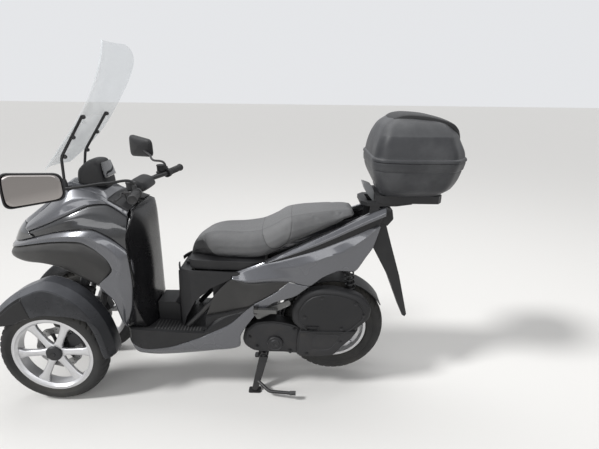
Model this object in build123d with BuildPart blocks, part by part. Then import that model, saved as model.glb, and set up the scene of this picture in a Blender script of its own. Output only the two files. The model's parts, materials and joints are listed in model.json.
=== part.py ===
from build123d import *
import os
from math import cos, radians, sin, tan

os.makedirs("parts", exist_ok=True)

# A three-wheeled leaning motor scooter on its centre stand, with a tall screen and a top box.
# +X runs rearward, +Y to the rider's right, +Z up, and the ground is at Z = 0.
# Stations are distances behind the front axle, and the origin is midway along the whole length.
nose_reach = 262.0
tail_reach = 1836.0
wheelbase = 1310.0
front_axle_x = nose_reach - (nose_reach + tail_reach) / 2
rear_axle_x = front_axle_x + wheelbase

# Wheels
track = 385.0
front_tyre_radius = 250.0
front_tyre_width = 90.0
front_bead_radius = 178.0
rear_tyre_radius = 251.0
rear_tyre_width = 110.0
rear_bead_radius = 153.0
rear_wheel_lift = 55.0
wheel_y = track / 2
front_axle_z = front_tyre_radius
rear_axle_z = rear_tyre_radius + rear_wheel_lift
spoke_count = 6
spoke_thickness = 18.0
spoke_outset = 8.0
rim_wall = 6.0
flange_height = 16.0
hub_radius = 34.0
hub_width = 56.0
axle_radius = 10.0
running_gap = 0.3
front_disc_radius = 110.0
rear_disc_radius = 100.0
disc_thickness = 4.0

# Steering: the handlebar's column and the two kingpins lean back by one angle
caster = radians(20.0)
trail = 68.0
kingpin_y = 104.0
kingpin_low_z = 560.0
kingpin_high_z = 690.0
kingpin_radius = 13.0
kingpin_wall = 9.0
kingpin_plate = 12.0
column_station = 34.0
column_radius = 14.0
head_wall = 8.0
head_low_z = 700.0
head_high_z = 905.0

# Fork legs
fork_y = 122.0
fork_tube_radius = 17.0
fork_tube_spread = 34.0
stanchion_radius = 13.0
fork_low_z = 215.0
slider_share = 200.0
lug_half = 16.0

# Mudguards
guard_inner_y = 139.3
guard_outer_y = 250.0
guard_wall = 3.0
tyre_gap = 12.0

# Body and box
panel_wall = 5.0
bin_wall = 4.0
box_wall = 4.0


def at(table):
    """Points of a side view, from stations behind the front axle and heights."""
    return [(front_axle_x + station, z) for station, z in table]


def plan(table):
    """Points of a top view, from stations and distances out from the middle, on the left."""
    return [(front_axle_x + station, -y) for station, y in table]


def side_slab(table, near, far, corner=0.0):
    """A side outline carried from one distance left of the middle to another."""
    with BuildPart() as slab:
        with BuildSketch(Plane.XZ.offset(near)) as side:
            with BuildLine():
                Polyline(*at(table), close=True)
            make_face()
            if corner:
                fillet(side.vertices(), corner)
        extrude(amount=far - near)
    return slab.part


def plan_slab(table, low, high, corner=0.0):
    """A half plan outline, mirrored about the middle, carried from one height to another."""
    with BuildPart() as slab:
        with BuildSketch(Plane.XY.offset(low)) as top:
            with BuildLine():
                Polyline(*plan(table), close=True)
            make_face()
            mirror(about=Plane.XZ)
            if corner:
                fillet(top.vertices(), corner)
        extrude(amount=high - low)
    return slab.part


def lean_plane(ground_station, y, z):
    """A plane across a line that leans back by the caster, at a height, its normal up the line."""
    foot = front_axle_x + ground_station + z * tan(caster)
    return Plane(origin=(foot, y, z), x_dir=(cos(caster), 0, -sin(caster)),
                 z_dir=(sin(caster), 0, cos(caster)))


def round_bar(points, radius, bend=0.0):
    """A round bar through points, bent in arcs at its inner points."""
    with BuildPart() as bar:
        with BuildLine() as route:
            if len(points) > 2:
                FilletPolyline(*points, radius=bend)
            else:
                Line(*points)
        with BuildSketch(Plane(origin=route.line @ 0, z_dir=route.line % 0)):
            Circle(radius)
        sweep()
    return bar.part


def keep(piece, name):
    """Name a finished piece and write it."""
    piece.label = name
    export_step(piece, f"parts/{name}.step")


def keep_pair(piece, name):
    """Write a left-hand piece and its mirror image on the right."""
    keep(piece, f"{name}_left")
    keep(mirror(piece, about=Plane.XZ), f"{name}_right")


def keep_both(piece, name):
    """Write a left-hand piece and its mirror image as one node of two solids."""
    keep(Compound([*piece.solids(), *mirror(piece, about=Plane.XZ).solids()]), name)


# Tyres and rims: the profile is drawn across the wheel, above its axle, and turned about it

def tyre(axle_x, y, axle_z, radius, width, bead):
    """A round-crowned tyre on its bead seat."""
    half = width / 2
    foot = 0.36 * width - running_gap
    shoulder = axle_z + radius - 0.36 * width
    with BuildPart() as ring:
        with BuildSketch(Plane.YZ.offset(axle_x)):
            with BuildLine():
                Polyline((y - half, shoulder), (y - 0.96 * half, shoulder - 12),
                         (y - foot, axle_z + bead + flange_height), (y - foot, axle_z + bead),
                         (y + foot, axle_z + bead), (y + foot, axle_z + bead + flange_height),
                         (y + 0.96 * half, shoulder - 12), (y + half, shoulder))
                ThreePointArc((y + half, shoulder), (y, axle_z + radius), (y - half, shoulder))
            make_face()
        revolve(axis=Axis((axle_x, y, axle_z), (0, 1, 0)))
    return ring.part


def rim(axle_x, y, axle_z, bead, width, disc_radius):
    """A cast rim for the left: barrel, hub, spokes that widen outwards, and the disc inboard."""
    seat_half = 0.27 * width
    lip_half = 0.36 * width
    lip = axle_z + bead + flange_height - 2
    seat = axle_z + bead - running_gap
    drop = axle_z + bead - 2 * rim_wall
    with BuildPart() as wheel:
        with BuildSketch(Plane.YZ.offset(axle_x)):
            with BuildLine():
                Polyline((y - lip_half - 3, lip), (y - lip_half, lip), (y - lip_half, seat),
                         (y + lip_half, seat), (y + lip_half, lip), (y + lip_half + 3, lip),
                         (y + lip_half + 3, seat - rim_wall), (y + seat_half, drop),
                         (y - seat_half, drop), (y - lip_half - 3, seat - rim_wall), close=True)
            make_face()
        revolve(axis=Axis((axle_x, y, axle_z), (0, 1, 0)))
        with BuildSketch(Plane.XZ.offset(-y - hub_width / 2)):
            with Locations((axle_x, axle_z)):
                Circle(hub_radius)
        extrude(amount=hub_width)
        with BuildSketch(Plane.XZ.offset(-y + spoke_outset - spoke_thickness / 2)):
            with Locations((axle_x, axle_z)):
                with PolarLocations(0, spoke_count, start_angle=3):
                    Polygon((hub_radius - 6, -13), (0.6 * bead, -12), (bead - rim_wall - 3, -24),
                            (bead - rim_wall - 3, 24), (0.6 * bead, 12), (hub_radius - 6, 13), align=None)
        extrude(amount=spoke_thickness)
        with BuildSketch(Plane.XZ.offset(-y - hub_width / 2 - disc_thickness)):
            with Locations((axle_x, axle_z)):
                Circle(disc_radius)
        extrude(amount=disc_thickness)
        with BuildSketch(Plane.XZ.offset(-y - hub_width)):
            with Locations((axle_x, axle_z)):
                Circle(axle_radius + running_gap)
        extrude(amount=2 * hub_width, mode=Mode.SUBTRACT)
    return wheel.part


keep_pair(tyre(front_axle_x, -wheel_y, front_axle_z, front_tyre_radius, front_tyre_width,
               front_bead_radius), "front_tyre")
keep_pair(rim(front_axle_x, -wheel_y, front_axle_z, front_bead_radius, front_tyre_width,
              front_disc_radius), "front_rim")
keep(tyre(rear_axle_x, 0, rear_axle_z, rear_tyre_radius, rear_tyre_width, rear_bead_radius), "rear_tyre")
keep(rim(rear_axle_x, 0, rear_axle_z, rear_bead_radius, rear_tyre_width, rear_disc_radius), "rear_rim")

# Fork leg: two tubes in line inside the wheel, hung on a kingpin above the tyre
pin_length = (kingpin_high_z - kingpin_low_z) / cos(caster)
stanchion_length = (kingpin_low_z - fork_low_z) / cos(caster) - kingpin_plate / 2
disc_y = wheel_y - hub_width / 2 - disc_thickness / 2
pad_gap = 5.0
caliper_half = 21.0
with BuildPart() as fork:
    with BuildSketch(Plane.XZ.offset(disc_y - caliper_half - 6)):
        with BuildLine():
            Polyline(*at([(70, 262), (122, 290), (96, 352), (52, 318)]), close=True)
        make_face()
    extrude(amount=2 * caliper_half + 6)
    with BuildSketch(Plane.XZ.offset(disc_y - disc_thickness / 2 - pad_gap)):
        with Locations((front_axle_x, front_axle_z)):
            Circle(front_disc_radius + pad_gap)
    extrude(amount=disc_thickness + 2 * pad_gap, mode=Mode.SUBTRACT)
    with BuildSketch(lean_plane(-trail, -kingpin_y, kingpin_low_z)):
        Circle(kingpin_radius)
    extrude(amount=pin_length + kingpin_plate)
    with BuildSketch(lean_plane(-trail, -kingpin_y, kingpin_low_z).offset(-kingpin_plate)):
        with Locations((0, kingpin_y - fork_y)):
            RectangleRounded(2 * (fork_tube_spread + fork_tube_radius), 2 * fork_tube_radius, 10)
        Circle(kingpin_radius + kingpin_wall)
    extrude(amount=kingpin_plate)
    with BuildSketch(lean_plane(-trail, -kingpin_y, kingpin_high_z)):
        Circle(kingpin_radius + kingpin_wall)
    extrude(amount=kingpin_plate)
    for spread in (-fork_tube_spread, fork_tube_spread):
        with BuildSketch(lean_plane(-trail, -fork_y, fork_low_z)):
            with Locations((spread, 0)):
                Circle(fork_tube_radius)
        extrude(amount=slider_share)
        with BuildSketch(lean_plane(-trail, -fork_y, fork_low_z)):
            with Locations((spread, 0)):
                Circle(stanchion_radius)
        extrude(amount=stanchion_length)
    with BuildSketch(Plane.XZ.offset(fork_y - lug_half)):
        with BuildLine():
            Polyline(*at([(-24, 224), (62, 224), (88, 262), (84, 312), (52, 318), (-4, 296), (-26, 260)]),
                     close=True)
        make_face()
    extrude(amount=2 * lug_half)
    with BuildSketch(Plane.XZ.offset(fork_y)):
        with Locations((front_axle_x, front_axle_z)):
            Circle(axle_radius)
    extrude(amount=wheel_y + hub_width / 2 + 4 - fork_y)
keep_pair(fork.part, "fork")

# Mudguard: a beak ahead of the wheel, a ridge over it and a flap behind it, open to the tyre
# The table holds angles up from straight behind the axle, and distances out from the tread
guard_round = [(147.3, 61.2), (144.8, 65.8), (128.7, 70.2), (100, 95.3), (84.9, 121.5), (66.7, 103.9),
               (52, 82.7), (35.5, 62), (18.3, 46), (0.4, 40), (0.4, 8), (17.6, 14.4), (37.4, 30),
               (53.9, 4.8), (77.1, -26.3), (90, -32), (106.6, -39.3), (124.6, -38.6), (141.7, 4.9)]
guard_outer_points = 10
guard_facet_y = 206.0
guard_facet_drop = 26.0


def round_wheel(table, drop, dropped):
    """A side outline from angles and distances out from the tread, its first points drawn in."""
    radii = [front_tyre_radius + out - (drop if place < dropped else 0)
             for place, (angle, out) in enumerate(table)]
    return [(radius * cos(radians(angle)), front_axle_z + radius * sin(radians(angle)))
            for radius, (angle, out) in zip(radii, table)]


with BuildPart() as guard:
    add(side_slab(round_wheel(guard_round, 0, 0), guard_inner_y, guard_facet_y))
    for y, drop in ((guard_facet_y, 0), (guard_outer_y, guard_facet_drop)):
        with BuildSketch(Plane.XZ.offset(y)):
            with BuildLine():
                Polyline(*at(round_wheel(guard_round, drop, guard_outer_points)), close=True)
            make_face()
    loft(ruled=True)
    with BuildSketch(Plane.XZ.offset(guard_inner_y + guard_wall)):
        with Locations((front_axle_x, front_axle_z)):
            Circle(front_tyre_radius + tyre_gap)
    extrude(amount=guard_outer_y - guard_inner_y - 2 * guard_wall, mode=Mode.SUBTRACT)
keep_pair(guard.part, "front_mudguard")

# Lean linkage: two arms on centre pins carry a tube on each kingpin
arm_levels = (582.0, 668.0)
arm_half = 13.0
arm_depth = 20.0
pivot_radius = 9.0


def cross_plane(z):
    """A plane across the scooter on the kingpins' line at a height, its normal to the right."""
    middle = lean_plane(-trail, 0, z)
    return Plane(origin=middle.origin, x_dir=middle.x_dir, z_dir=(0, 1, 0))


def pivot_plane(z):
    """A plane behind an arm, facing forward along its centre pin."""
    middle = lean_plane(-trail, 0, z)
    back = middle.origin + middle.x_dir * (arm_depth + 12)
    return Plane(origin=back, z_dir=-middle.x_dir)


with BuildPart() as linkage:
    for side in (-1, 1):
        with BuildSketch(lean_plane(-trail, side * kingpin_y, kingpin_low_z).offset(running_gap)):
            Circle(kingpin_radius + kingpin_wall)
        extrude(amount=pin_length - 2 * running_gap)
    for z in arm_levels:
        with BuildSketch(cross_plane(z)):
            RectangleRounded(2 * arm_depth, 2 * arm_half, 6)
        extrude(amount=kingpin_y, both=True)
    for side in (-1, 1):
        with BuildSketch(lean_plane(-trail, side * kingpin_y, kingpin_low_z)):
            Circle(kingpin_radius + running_gap)
        extrude(amount=pin_length, mode=Mode.SUBTRACT)
    for z in arm_levels:
        with BuildSketch(pivot_plane(z)):
            Circle(pivot_radius + running_gap)
        extrude(amount=2 * arm_depth + 24, mode=Mode.SUBTRACT)
keep(linkage.part, "lean_linkage")

# Frame: a spine with the linkage's pins, the steering head and a keel to the engine
spine_half = 22.0
head_bore = column_radius + running_gap
head_length = (head_high_z - head_low_z) / cos(caster)
arm_back = (arm_depth + running_gap) / cos(caster) - trail
spine_side = [(arm_back + 560 * tan(caster), 560), (arm_back + 690 * tan(caster), 690), (270, 772),
              (292, 790), (330, 790), (330, 740), (318, 716), (250, 640), (210, 560)]
keel_side = [(296, 760), (366, 470), (392, 340), (430, 300), (860, 300), (930, 372), (1008, 560),
             (1020, 620), (982, 620), (900, 404), (848, 332), (442, 332), (420, 352), (396, 480), (329, 760)]
with BuildPart() as frame:
    with BuildSketch(lean_plane(column_station, 0, head_low_z)):
        Circle(head_bore + head_wall)
    extrude(amount=head_length)
    add(side_slab(spine_side, -spine_half, spine_half))
    add(side_slab(keel_side, -spine_half, spine_half))
    for z in arm_levels:
        with BuildSketch(pivot_plane(z)):
            Circle(pivot_radius)
        extrude(amount=2 * arm_depth + 18)
    with BuildSketch(lean_plane(column_station, 0, head_low_z).offset(-30)):
        Circle(head_bore)
    extrude(amount=head_length + 60, mode=Mode.SUBTRACT)
keep(frame.part, "frame")

# Seat rails run from the keel to the carrier
rail_radius = 13.0
rail_route = [(614, 116, 353), (835, 127, 594), (1000, 116, 622), (1150, 100, 690), (1330, 90, 775),
              (1480, 86, 838)]
shock_y = 86.0
peg_station = 942.0
peg_z = 476.0
peg_bar_radius = 9.0
peg_pivot_y = 186.0
peg_x = front_axle_x + peg_station
with BuildPart() as seat_rails:
    add(round_bar([(front_axle_x + station, -y, z) for station, y, z in rail_route], rail_radius, 50))
    with BuildSketch(Plane.XZ.offset(spine_half + running_gap)):
        with Locations((front_axle_x + 992, 600)):
            Circle(rail_radius)
    extrude(amount=112 - spine_half)
    add(side_slab([(1332, 764), (1378, 783), (1370, 752), (1337, 752)], shock_y + 4, shock_y + 10))
    add(round_bar([(peg_x, -spine_half - running_gap, peg_z), (peg_x, -peg_pivot_y + 12, peg_z)],
                  peg_bar_radius))
    with BuildSketch(Plane.XY.offset(peg_z - 16)):
        with Locations((peg_x, -peg_pivot_y + 2.8)):
            Rectangle(16, 21.4)
    extrude(amount=32)
    with BuildSketch(Plane.XY.offset(peg_z - 10)):
        with Locations((peg_x, -peg_pivot_y)):
            Rectangle(30, 19.6)
    extrude(amount=20, mode=Mode.SUBTRACT)
    with BuildSketch(Plane.XY.offset(peg_z - 16)):
        with Locations((peg_x, -peg_pivot_y)):
            Circle(4)
    extrude(amount=32)
    mirror(about=Plane.XZ)
keep(seat_rails.part, "seat_rails")

# Body shells: each is what its side, top and front outlines have in common, less its hollow
def outlines_meet(side, top, front, shrink=0.0):
    """The solid inside a side outline, a half top outline and a half front outline."""
    with BuildPart() as solid:
        with BuildSketch(Plane.XZ.offset(-400)):
            with BuildLine():
                Polyline(*at(side), close=True)
            make_face()
        extrude(amount=800)
        with BuildSketch(Plane.XY):
            with BuildLine():
                Polyline(*plan(top), *[(x, -y) for x, y in reversed(plan(top))], close=True)
            make_face()
            if shrink:
                offset(amount=-shrink, kind=Kind.INTERSECTION)
        extrude(amount=1700, mode=Mode.INTERSECT)
        with BuildSketch(Plane.YZ.offset(-1300)):
            with BuildLine():
                Polyline(*front, *[(-y, z) for y, z in reversed(front)], close=True)
            make_face()
            if shrink:
                offset(amount=-shrink, kind=Kind.INTERSECTION)
        extrude(amount=2800, mode=Mode.INTERSECT)
    return solid.part


def shell(side, top, front, hollow):
    """A thin-walled cover: its walls stand outside the hollow's side outline."""
    with BuildPart() as cover:
        add(outlines_meet(side, top, front))
        add(outlines_meet(hollow, top, front, panel_wall), mode=Mode.SUBTRACT)
    return cover.part


# Front body
nose_plan = [(-222, 4), (-212, 50), (-130, 122), (0, 168), (135, 194), (250, 203), (470, 203)]
nose_front = [(140, 350), (182, 470), (203, 600), (203, 800), (190, 850), (130, 950), (96, 1010),
              (70, 1060)]
cowl_side = [(-40, 783), (-94, 846), (0, 920), (60, 972), (120, 1014), (262, 990), (300, 970),
             (396, 925), (396, 746), (338, 802), (250, 847), (135, 831), (0, 791)]
with BuildPart() as cowl:
    add(outlines_meet(cowl_side, nose_plan, nose_front))
    add(outlines_meet([(-60, 700), (-60, 860), (10, 914), (66, 962), (124, 1002), (258, 980),
                       (296, 962), (380, 921), (410, 900), (410, 700)], nose_plan, nose_front,
                      panel_wall), mode=Mode.SUBTRACT)
    with BuildSketch(lean_plane(column_station, 0, head_low_z)):
        Circle(head_bore + head_wall + 6)
    extrude(amount=500, mode=Mode.SUBTRACT)
keep(cowl.part, "front_cowl")

# Nose panel: a raised V over the cowl, up to the foot of the screen
nose_panel_side = [(-129, 846), (-124, 858), (0, 948), (60, 1000), (118, 1044), (262, 1012),
                   (304, 973), (262, 990), (120, 1014), (60, 972), (0, 920), (-94, 846)]
with BuildPart() as nose_panel:
    add(outlines_meet(nose_panel_side, nose_plan, nose_front))
    with BuildSketch(lean_plane(column_station, 0, head_low_z)):
        Circle(head_bore + head_wall + 6)
    extrude(amount=500, mode=Mode.SUBTRACT)
keep(nose_panel.part, "nose_panel")

# Headlamp: one dark lens across the nose between the brow and the nose panel
lamp_side = [(-204, 747), (-190, 770), (-150, 830), (-129, 846), (-94, 846), (-40, 783), (-60, 777)]
keep(outlines_meet(lamp_side, nose_plan, nose_front), "headlamp")

# Brow: a visor round the nose whose ends run down beside the rider's legs
brow_side = [(-222, 690), (-205, 745), (-60, 777), (0, 791), (135, 831), (250, 847), (338, 802),
             (396, 746), (402, 600), (380, 470), (332, 362), (322, 372), (310, 440), (300, 517),
             (247, 596), (322, 705), (300, 740), (200, 775), (100, 773), (-60, 725), (-200, 700)]
keep(shell(brow_side, nose_plan, nose_front, [(-190, 300), (420, 300), (420, 900), (-190, 900)]),
     "brow")

# Arch panel: the darker cover below the brow, round the front wheels' linkage
arch_side = [(-200, 700), (-60, 725), (100, 773), (200, 775), (300, 740), (322, 705), (247, 596),
             (20, 704), (-12, 682), (-180, 668)]
keep(shell(arch_side, nose_plan, nose_front, [(-180, 300), (420, 300), (420, 900), (-180, 900)]),
     "arch_panel")

# Leg shield: the rider's side of the front body, open to the front
shield_plan = [(300, 203), (360, 203), (392, 192), (415, 150), (440, 100), (455, 50), (457, 4)]
shield_front = [(129, 320), (182, 470), (203, 600), (203, 800), (150, 900), (110, 936)]
shield_foot = 352.0
shield_side = [(396, 925), (425, 912), (452, 812), (457, 640), (449, 470), (456, 415), (456, shield_foot),
               (334, shield_foot), (334, 365), (380, 470), (402, 600), (396, 746)]
shield_hollow = [(300, 340), (450, 340), (450, 413), (443, 468), (451, 640), (446, 811), (420, 906),
                 (300, 918)]
keep(shell(shield_side, shield_plan, shield_front, shield_hollow), "leg_shield")

# Floorboard: two foot wells beside a tunnel, over side sills, hollow from below
floor_plan = [(334, 140), (350, 160), (420, 170), (700, 172), (934, 168)]
floor_z = shield_foot - running_gap
floor_top = [(334, floor_z), (456, floor_z), (560, 344), (700, 342), (704, 414), (795, 438), (905, 476), (934, 500)]
sill_top = [(900, 470), (818, 392), (672, 318), (525, 264), (407, 250), (350, 276), (334, 300)]
sill_low = [(376, 227), (447, 211), (630, 227), (738, 243), (864, 274), (865, 323), (939, 440), (934, 499)]
sill_inner = 112.0
floor_front = [(150, 200), (172, 260), (172, 352), (146, 358), (150, 400), (168, 476), (168, 520)]
floor_skin = 6.0
tunnel_top = 446.0
with BuildPart() as floorboard:
    add(outlines_meet([*floor_top, *sill_top], floor_plan, floor_front))
    add(side_slab([(456, 340), (456, tunnel_top), (540, tunnel_top), (560, 430), (560, 340)], -62, 62))
    add(side_slab([(300, 200), (300, 345), (456, 345), (456, tunnel_top - floor_skin),
                   (538, tunnel_top - floor_skin), (554, 426), (554, 338), (700, 336), (700, 200)],
                  -57, 57), mode=Mode.SUBTRACT)
    add(side_slab([(300, 200), (300, 345), (456, 345), (560, 338), (700, 336), (710, 408), (800, 432),
                   (909, 470), (960, 490), (960, 200)], -sill_inner, sill_inner), mode=Mode.SUBTRACT)
    for start, end in ((376, 440), (850, 934)):
        add(side_slab([(start, 330), (end, 330), (end, 520), (start, 520)], -30, 30), mode=Mode.SUBTRACT)
keep(floorboard.part, "floorboard")
with BuildPart() as sills:
    add(outlines_meet([*reversed(sill_top), *reversed(sill_low)], floor_plan, floor_front))
    add(side_slab([(300, 150), (300, 520), (960, 520), (960, 150)], -sill_inner, sill_inner),
        mode=Mode.SUBTRACT)
    with BuildSketch(Plane.XZ.offset(-300)):
        with Locations((peg_x, peg_z)):
            Circle(peg_bar_radius + running_gap)
    extrude(amount=600, mode=Mode.SUBTRACT)

# Seat base: the panel under the seat's nose, with the bin behind it
base_plan = [(556, 4), (562, 62), (582, 105), (640, 135), (834, 150), (880, 156)]
base_side = [(562, 346), (562, 432), (568, 512), (580, 630), (590, 636), (834, 636), (828, 612),
             (730, 560), (655, 490), (604, 395), (590, 346)]
base_hollow = [(568, 300), (568, 431), (574, 511), (586, 629), (592, 630), (640, 630), (640, 700),
               (900, 700), (900, 300)]
base_front = [(156, 300), (156, 700)]
hinge_z = 640.0
hinge_station = 622.0
hinge_pin_radius = 5.0
hinge_wall = 6.0
hinge_half = 24.0
hinge_ear = 8.0
with BuildPart() as seat_base:
    add(shell(base_side, base_plan, base_front, base_hollow))
    add(side_slab([(600, 600), (600, 648), (632, 648), (632, 600)], -hinge_half - hinge_ear,
                  hinge_half + hinge_ear))
    add(side_slab([(586, 618), (586, 636), (640, 636), (640, 618)], -60, 60))
    with BuildSketch(Plane.XZ.offset(-hinge_half - running_gap)):
        with Locations((front_axle_x + hinge_station, hinge_z)):
            Circle(hinge_pin_radius + hinge_wall + 5)
    extrude(amount=2 * hinge_half + 2 * running_gap, mode=Mode.SUBTRACT)
    with BuildSketch(Plane.XZ.offset(-hinge_half - 2)):
        with Locations((front_axle_x + hinge_station, hinge_z)):
            Circle(hinge_pin_radius)
    extrude(amount=2 * hinge_half + 4)

bin_front = 735.0
bin_back = 895.0
bin_floor = 484.0
bin_top = 632.0
bin_half = 106.0
with BuildPart() as storage_bin:
    add(side_slab([(bin_front, bin_floor), (bin_front, bin_top), (bin_back, bin_top), (bin_back, bin_floor)],
                  -bin_half, bin_half, 20))
    add(side_slab([(bin_front - 20, bin_top - 6), (bin_front - 20, bin_top), (bin_back, bin_top),
                   (bin_back, bin_top - 6)], -bin_half, bin_half))
    for side in (-1, 1):
        add(side_slab([(760, bin_top - 6), (760, bin_top), (820, bin_top), (820, bin_top - 6)],
                      side * 141, side * bin_half))
    add(side_slab([(bin_front + bin_wall, bin_floor + bin_wall), (bin_front + bin_wall, 700),
                   (bin_back - bin_wall, 700), (bin_back - bin_wall, bin_floor + bin_wall)],
                  -bin_half + bin_wall, bin_half - bin_wall), mode=Mode.SUBTRACT)
keep(Compound([*seat_base.part.solids(), *storage_bin.part.solids()]), "seat_base")

# Side panels: one long sheet each side from the seat's middle to the tail, with a dark inset
rear_plan = [(650, 134), (820, 152), (1000, 178), (1200, 166), (1400, 128), (1540, 96)]
rear_front = [(180, 340), (180, 1000)]
panel_side = [(834, 612), (834, 637), (985, 706), (1300, 850), (1523, 949), (1500, 868), (1469, 755),
              (1393, 648), (1318, 655), (1245, 628), (1186, 588), (1126, 543), (1020, 506), (939.3, 440.5),
              (934.3, 499.4), (979, 526), (1040, 566), (1092, 612), (1060, 618), (900, 600)]
inset_side = [(834, 612), (900, 600), (1060, 618), (1092, 612), (1040, 566), (979, 526), (934, 500),
              (905, 476), (795, 438), (704, 414), (745, 523)]
long_hollow = [(640, 300), (1600, 300), (1600, 1000), (640, 1000)]
with BuildPart() as side_panels:
    add(shell(panel_side, rear_plan, rear_front, long_hollow))
    with BuildSketch(Plane.XZ.offset(-300)):
        with Locations((peg_x, peg_z)):
            Circle(peg_bar_radius + running_gap)
    extrude(amount=600, mode=Mode.SUBTRACT)
keep(Compound([*side_panels.part.solids(), *sills.part.solids()]), "side_panels")
keep(shell(inset_side, rear_plan, rear_front, long_hollow), "side_insets")

# Tail: lamp and a long plate holder over the rear wheel
keep(side_slab([(1500, 868), (1524, 945), (1552, 930), (1560, 884), (1532, 850)], -78, 78, 4), "tail_lamp")
holder_plan = [(1300, 72.7), (wheelbase + 190, 72.7), (wheelbase + 354, 60)]
holder_side = [(1440, 790), (1500, 867.7), (1531.6, 849.7), (wheelbase + 250, 760), (wheelbase + 302, 600),
               (wheelbase + 354, 395), (wheelbase + 346, 382), (wheelbase + 332, 392),
               (wheelbase + 252, 590), (wheelbase + 170, 740)]
holder = outlines_meet(holder_side, holder_plan, [(90, 300), (90, 1000)])

bolt_radius = 3.25
bolt_depth = 12.0
bolt_y = 40.0
bolt_z = 540.0
bolt_station = wheelbase + 302 + 52 * (600 - bolt_z) / 205
with BuildPart() as plate_holder:
    add(holder)
    for y in (-bolt_y, bolt_y):
        with BuildSketch(Plane(origin=(front_axle_x + bolt_station, y, bolt_z), z_dir=(205, 0, 52))):
            Circle(bolt_radius)
        extrude(amount=-bolt_depth, mode=Mode.SUBTRACT)

# Engine: one block with the stand's lugs below it, a case to the left and an arm to the right
stand_station = 968.0
stand_z = 172.0
stand_tube_radius = 14.0
lug_y = 52.0
lug_width = 9.0
tyre_side_gap = 7.0
case_near = rear_tyre_width / 2 + tyre_side_gap
case_far = 150.0
case_top_z = 352.0
case_side = [(1142, 206), (1180, 200), (wheelbase + 6, 218), (wheelbase + 37, 256), (wheelbase + 82, 303),
             (wheelbase + 111, case_top_z), (1142, case_top_z)]
crank_far = 136.0
crank_side = [(1144, 208), (1074, 212), (912, 225), (878, 253), (870, 281), (880, 328), (932, 374),
              (1019, 385), (1144, case_top_z - 1)]
engine_back = 1044.0
engine_side = [(890, 196), (engine_back - 4, 196), (engine_back, 300), (1030, 420), (992, 440), (960, 400), (925, 366.5),
               (880, 320.2)]
with BuildPart() as engine:
    add(side_slab(engine_side, -140, case_near - running_gap))
    for y in (-lug_y - lug_width, lug_y):
        add(side_slab([(940, 200), (996, 200), (988, 150), (948, 150)], y, y + lug_width, 4))
    with BuildSketch(Plane.XZ.offset(-150)):
        with Locations((front_axle_x + stand_station, stand_z)):
            Circle(stand_tube_radius + running_gap)
    extrude(amount=300, mode=Mode.SUBTRACT)
keep(engine.part, "engine")

case_round = 9.0
clutch_cover_radius = 36.0
clutch_cover_rise = 12.0
clutch_station = 1027.0
clutch_z = 272.0
with BuildPart() as case:
    add(side_slab(case_side, case_near, case_far))
    fillet(case.faces().sort_by(Axis.Y)[0].edges(), case_round)
    with BuildPart() as crank:
        add(side_slab(crank_side, case_near, crank_far))
        fillet(crank.faces().sort_by(Axis.Y)[0].edges(), 2 * case_round)
    with BuildSketch(Plane.XZ.offset(crank_far - 1)):
        with Locations((front_axle_x + clutch_station, clutch_z)):
            Circle(clutch_cover_radius)
    extrude(amount=clutch_cover_rise + 1, taper=20)
    with BuildSketch(Plane.XZ.offset(-hub_width / 2 - 8)):
        with Locations((rear_axle_x, rear_axle_z)):
            Circle(axle_radius)
    extrude(amount=case_near + hub_width / 2 + 10)
    with BuildSketch(Plane.XZ.offset(hub_width / 2 + 2)):
        with Locations((rear_axle_x, rear_axle_z)):
            Circle(24)
    extrude(amount=case_near - hub_width / 2)
    add(side_slab([(1366, case_top_z - 6), (1420, case_top_z - 6), (1412, 434), (1384, 434)], shock_y + 11,
                  shock_y + 17))
keep(case.part, "transmission_case")

airbox_near = 110.0
airbox_far = 166.0
airbox_side = [(1154, case_top_z + running_gap), (wheelbase + 94, case_top_z + running_gap),
               (wheelbase + 124, 383), (wheelbase + 157, 419), (wheelbase + 165, 463), (wheelbase + 148, 497),
               (wheelbase + 115, 531), (wheelbase + 23, 564), (1242, 571), (1181, 557), (1151, 536),
               (1106, 466), (1110, 400)]
airbox_round = 16.0
with BuildPart() as airbox:
    add(side_slab(airbox_side, airbox_near, airbox_far))
    fillet(airbox.faces().sort_by(Axis.Y)[0].edges(), airbox_round)
keep(airbox.part, "airbox")

arm_near = 64.0
arm_far = 77.7
with BuildPart() as swing_arm:
    add(side_slab([(engine_back + running_gap, 210), (wheelbase, rear_axle_z - 44), (wheelbase + 46, 300),
                   (1424, 404), (1400, 432), (wheelbase - 10, rear_axle_z + 44),
                   (engine_back + running_gap, 300)], -arm_far, -arm_near))
    with BuildSketch(Plane.XZ.offset(-arm_near)):
        with Locations((rear_axle_x, rear_axle_z)):
            Circle(axle_radius + 6)
    extrude(amount=24)
    with BuildSketch(Plane.XZ.offset(-100)):
        with Locations((rear_axle_x, rear_axle_z)):
            Circle(axle_radius + running_gap)
    extrude(amount=100, mode=Mode.SUBTRACT)
keep(swing_arm.part, "swing_arm")

with BuildPart() as exhaust:
    add(round_bar([(front_axle_x + 935, 140.3, 320), (front_axle_x + 935, 190, 320),
                   (front_axle_x + 965, 190, 262), (front_axle_x + 1070, 168, 262)], 14, 20))
    add(round_bar([(front_axle_x + 1060, 168, 262), (front_axle_x + 1520, 160, 352)], 50))
    fillet(exhaust.faces().filter_by(GeomType.PLANE).sort_by(Axis.X)[-1].edges(), 16)
keep(exhaust.part, "exhaust")

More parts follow.
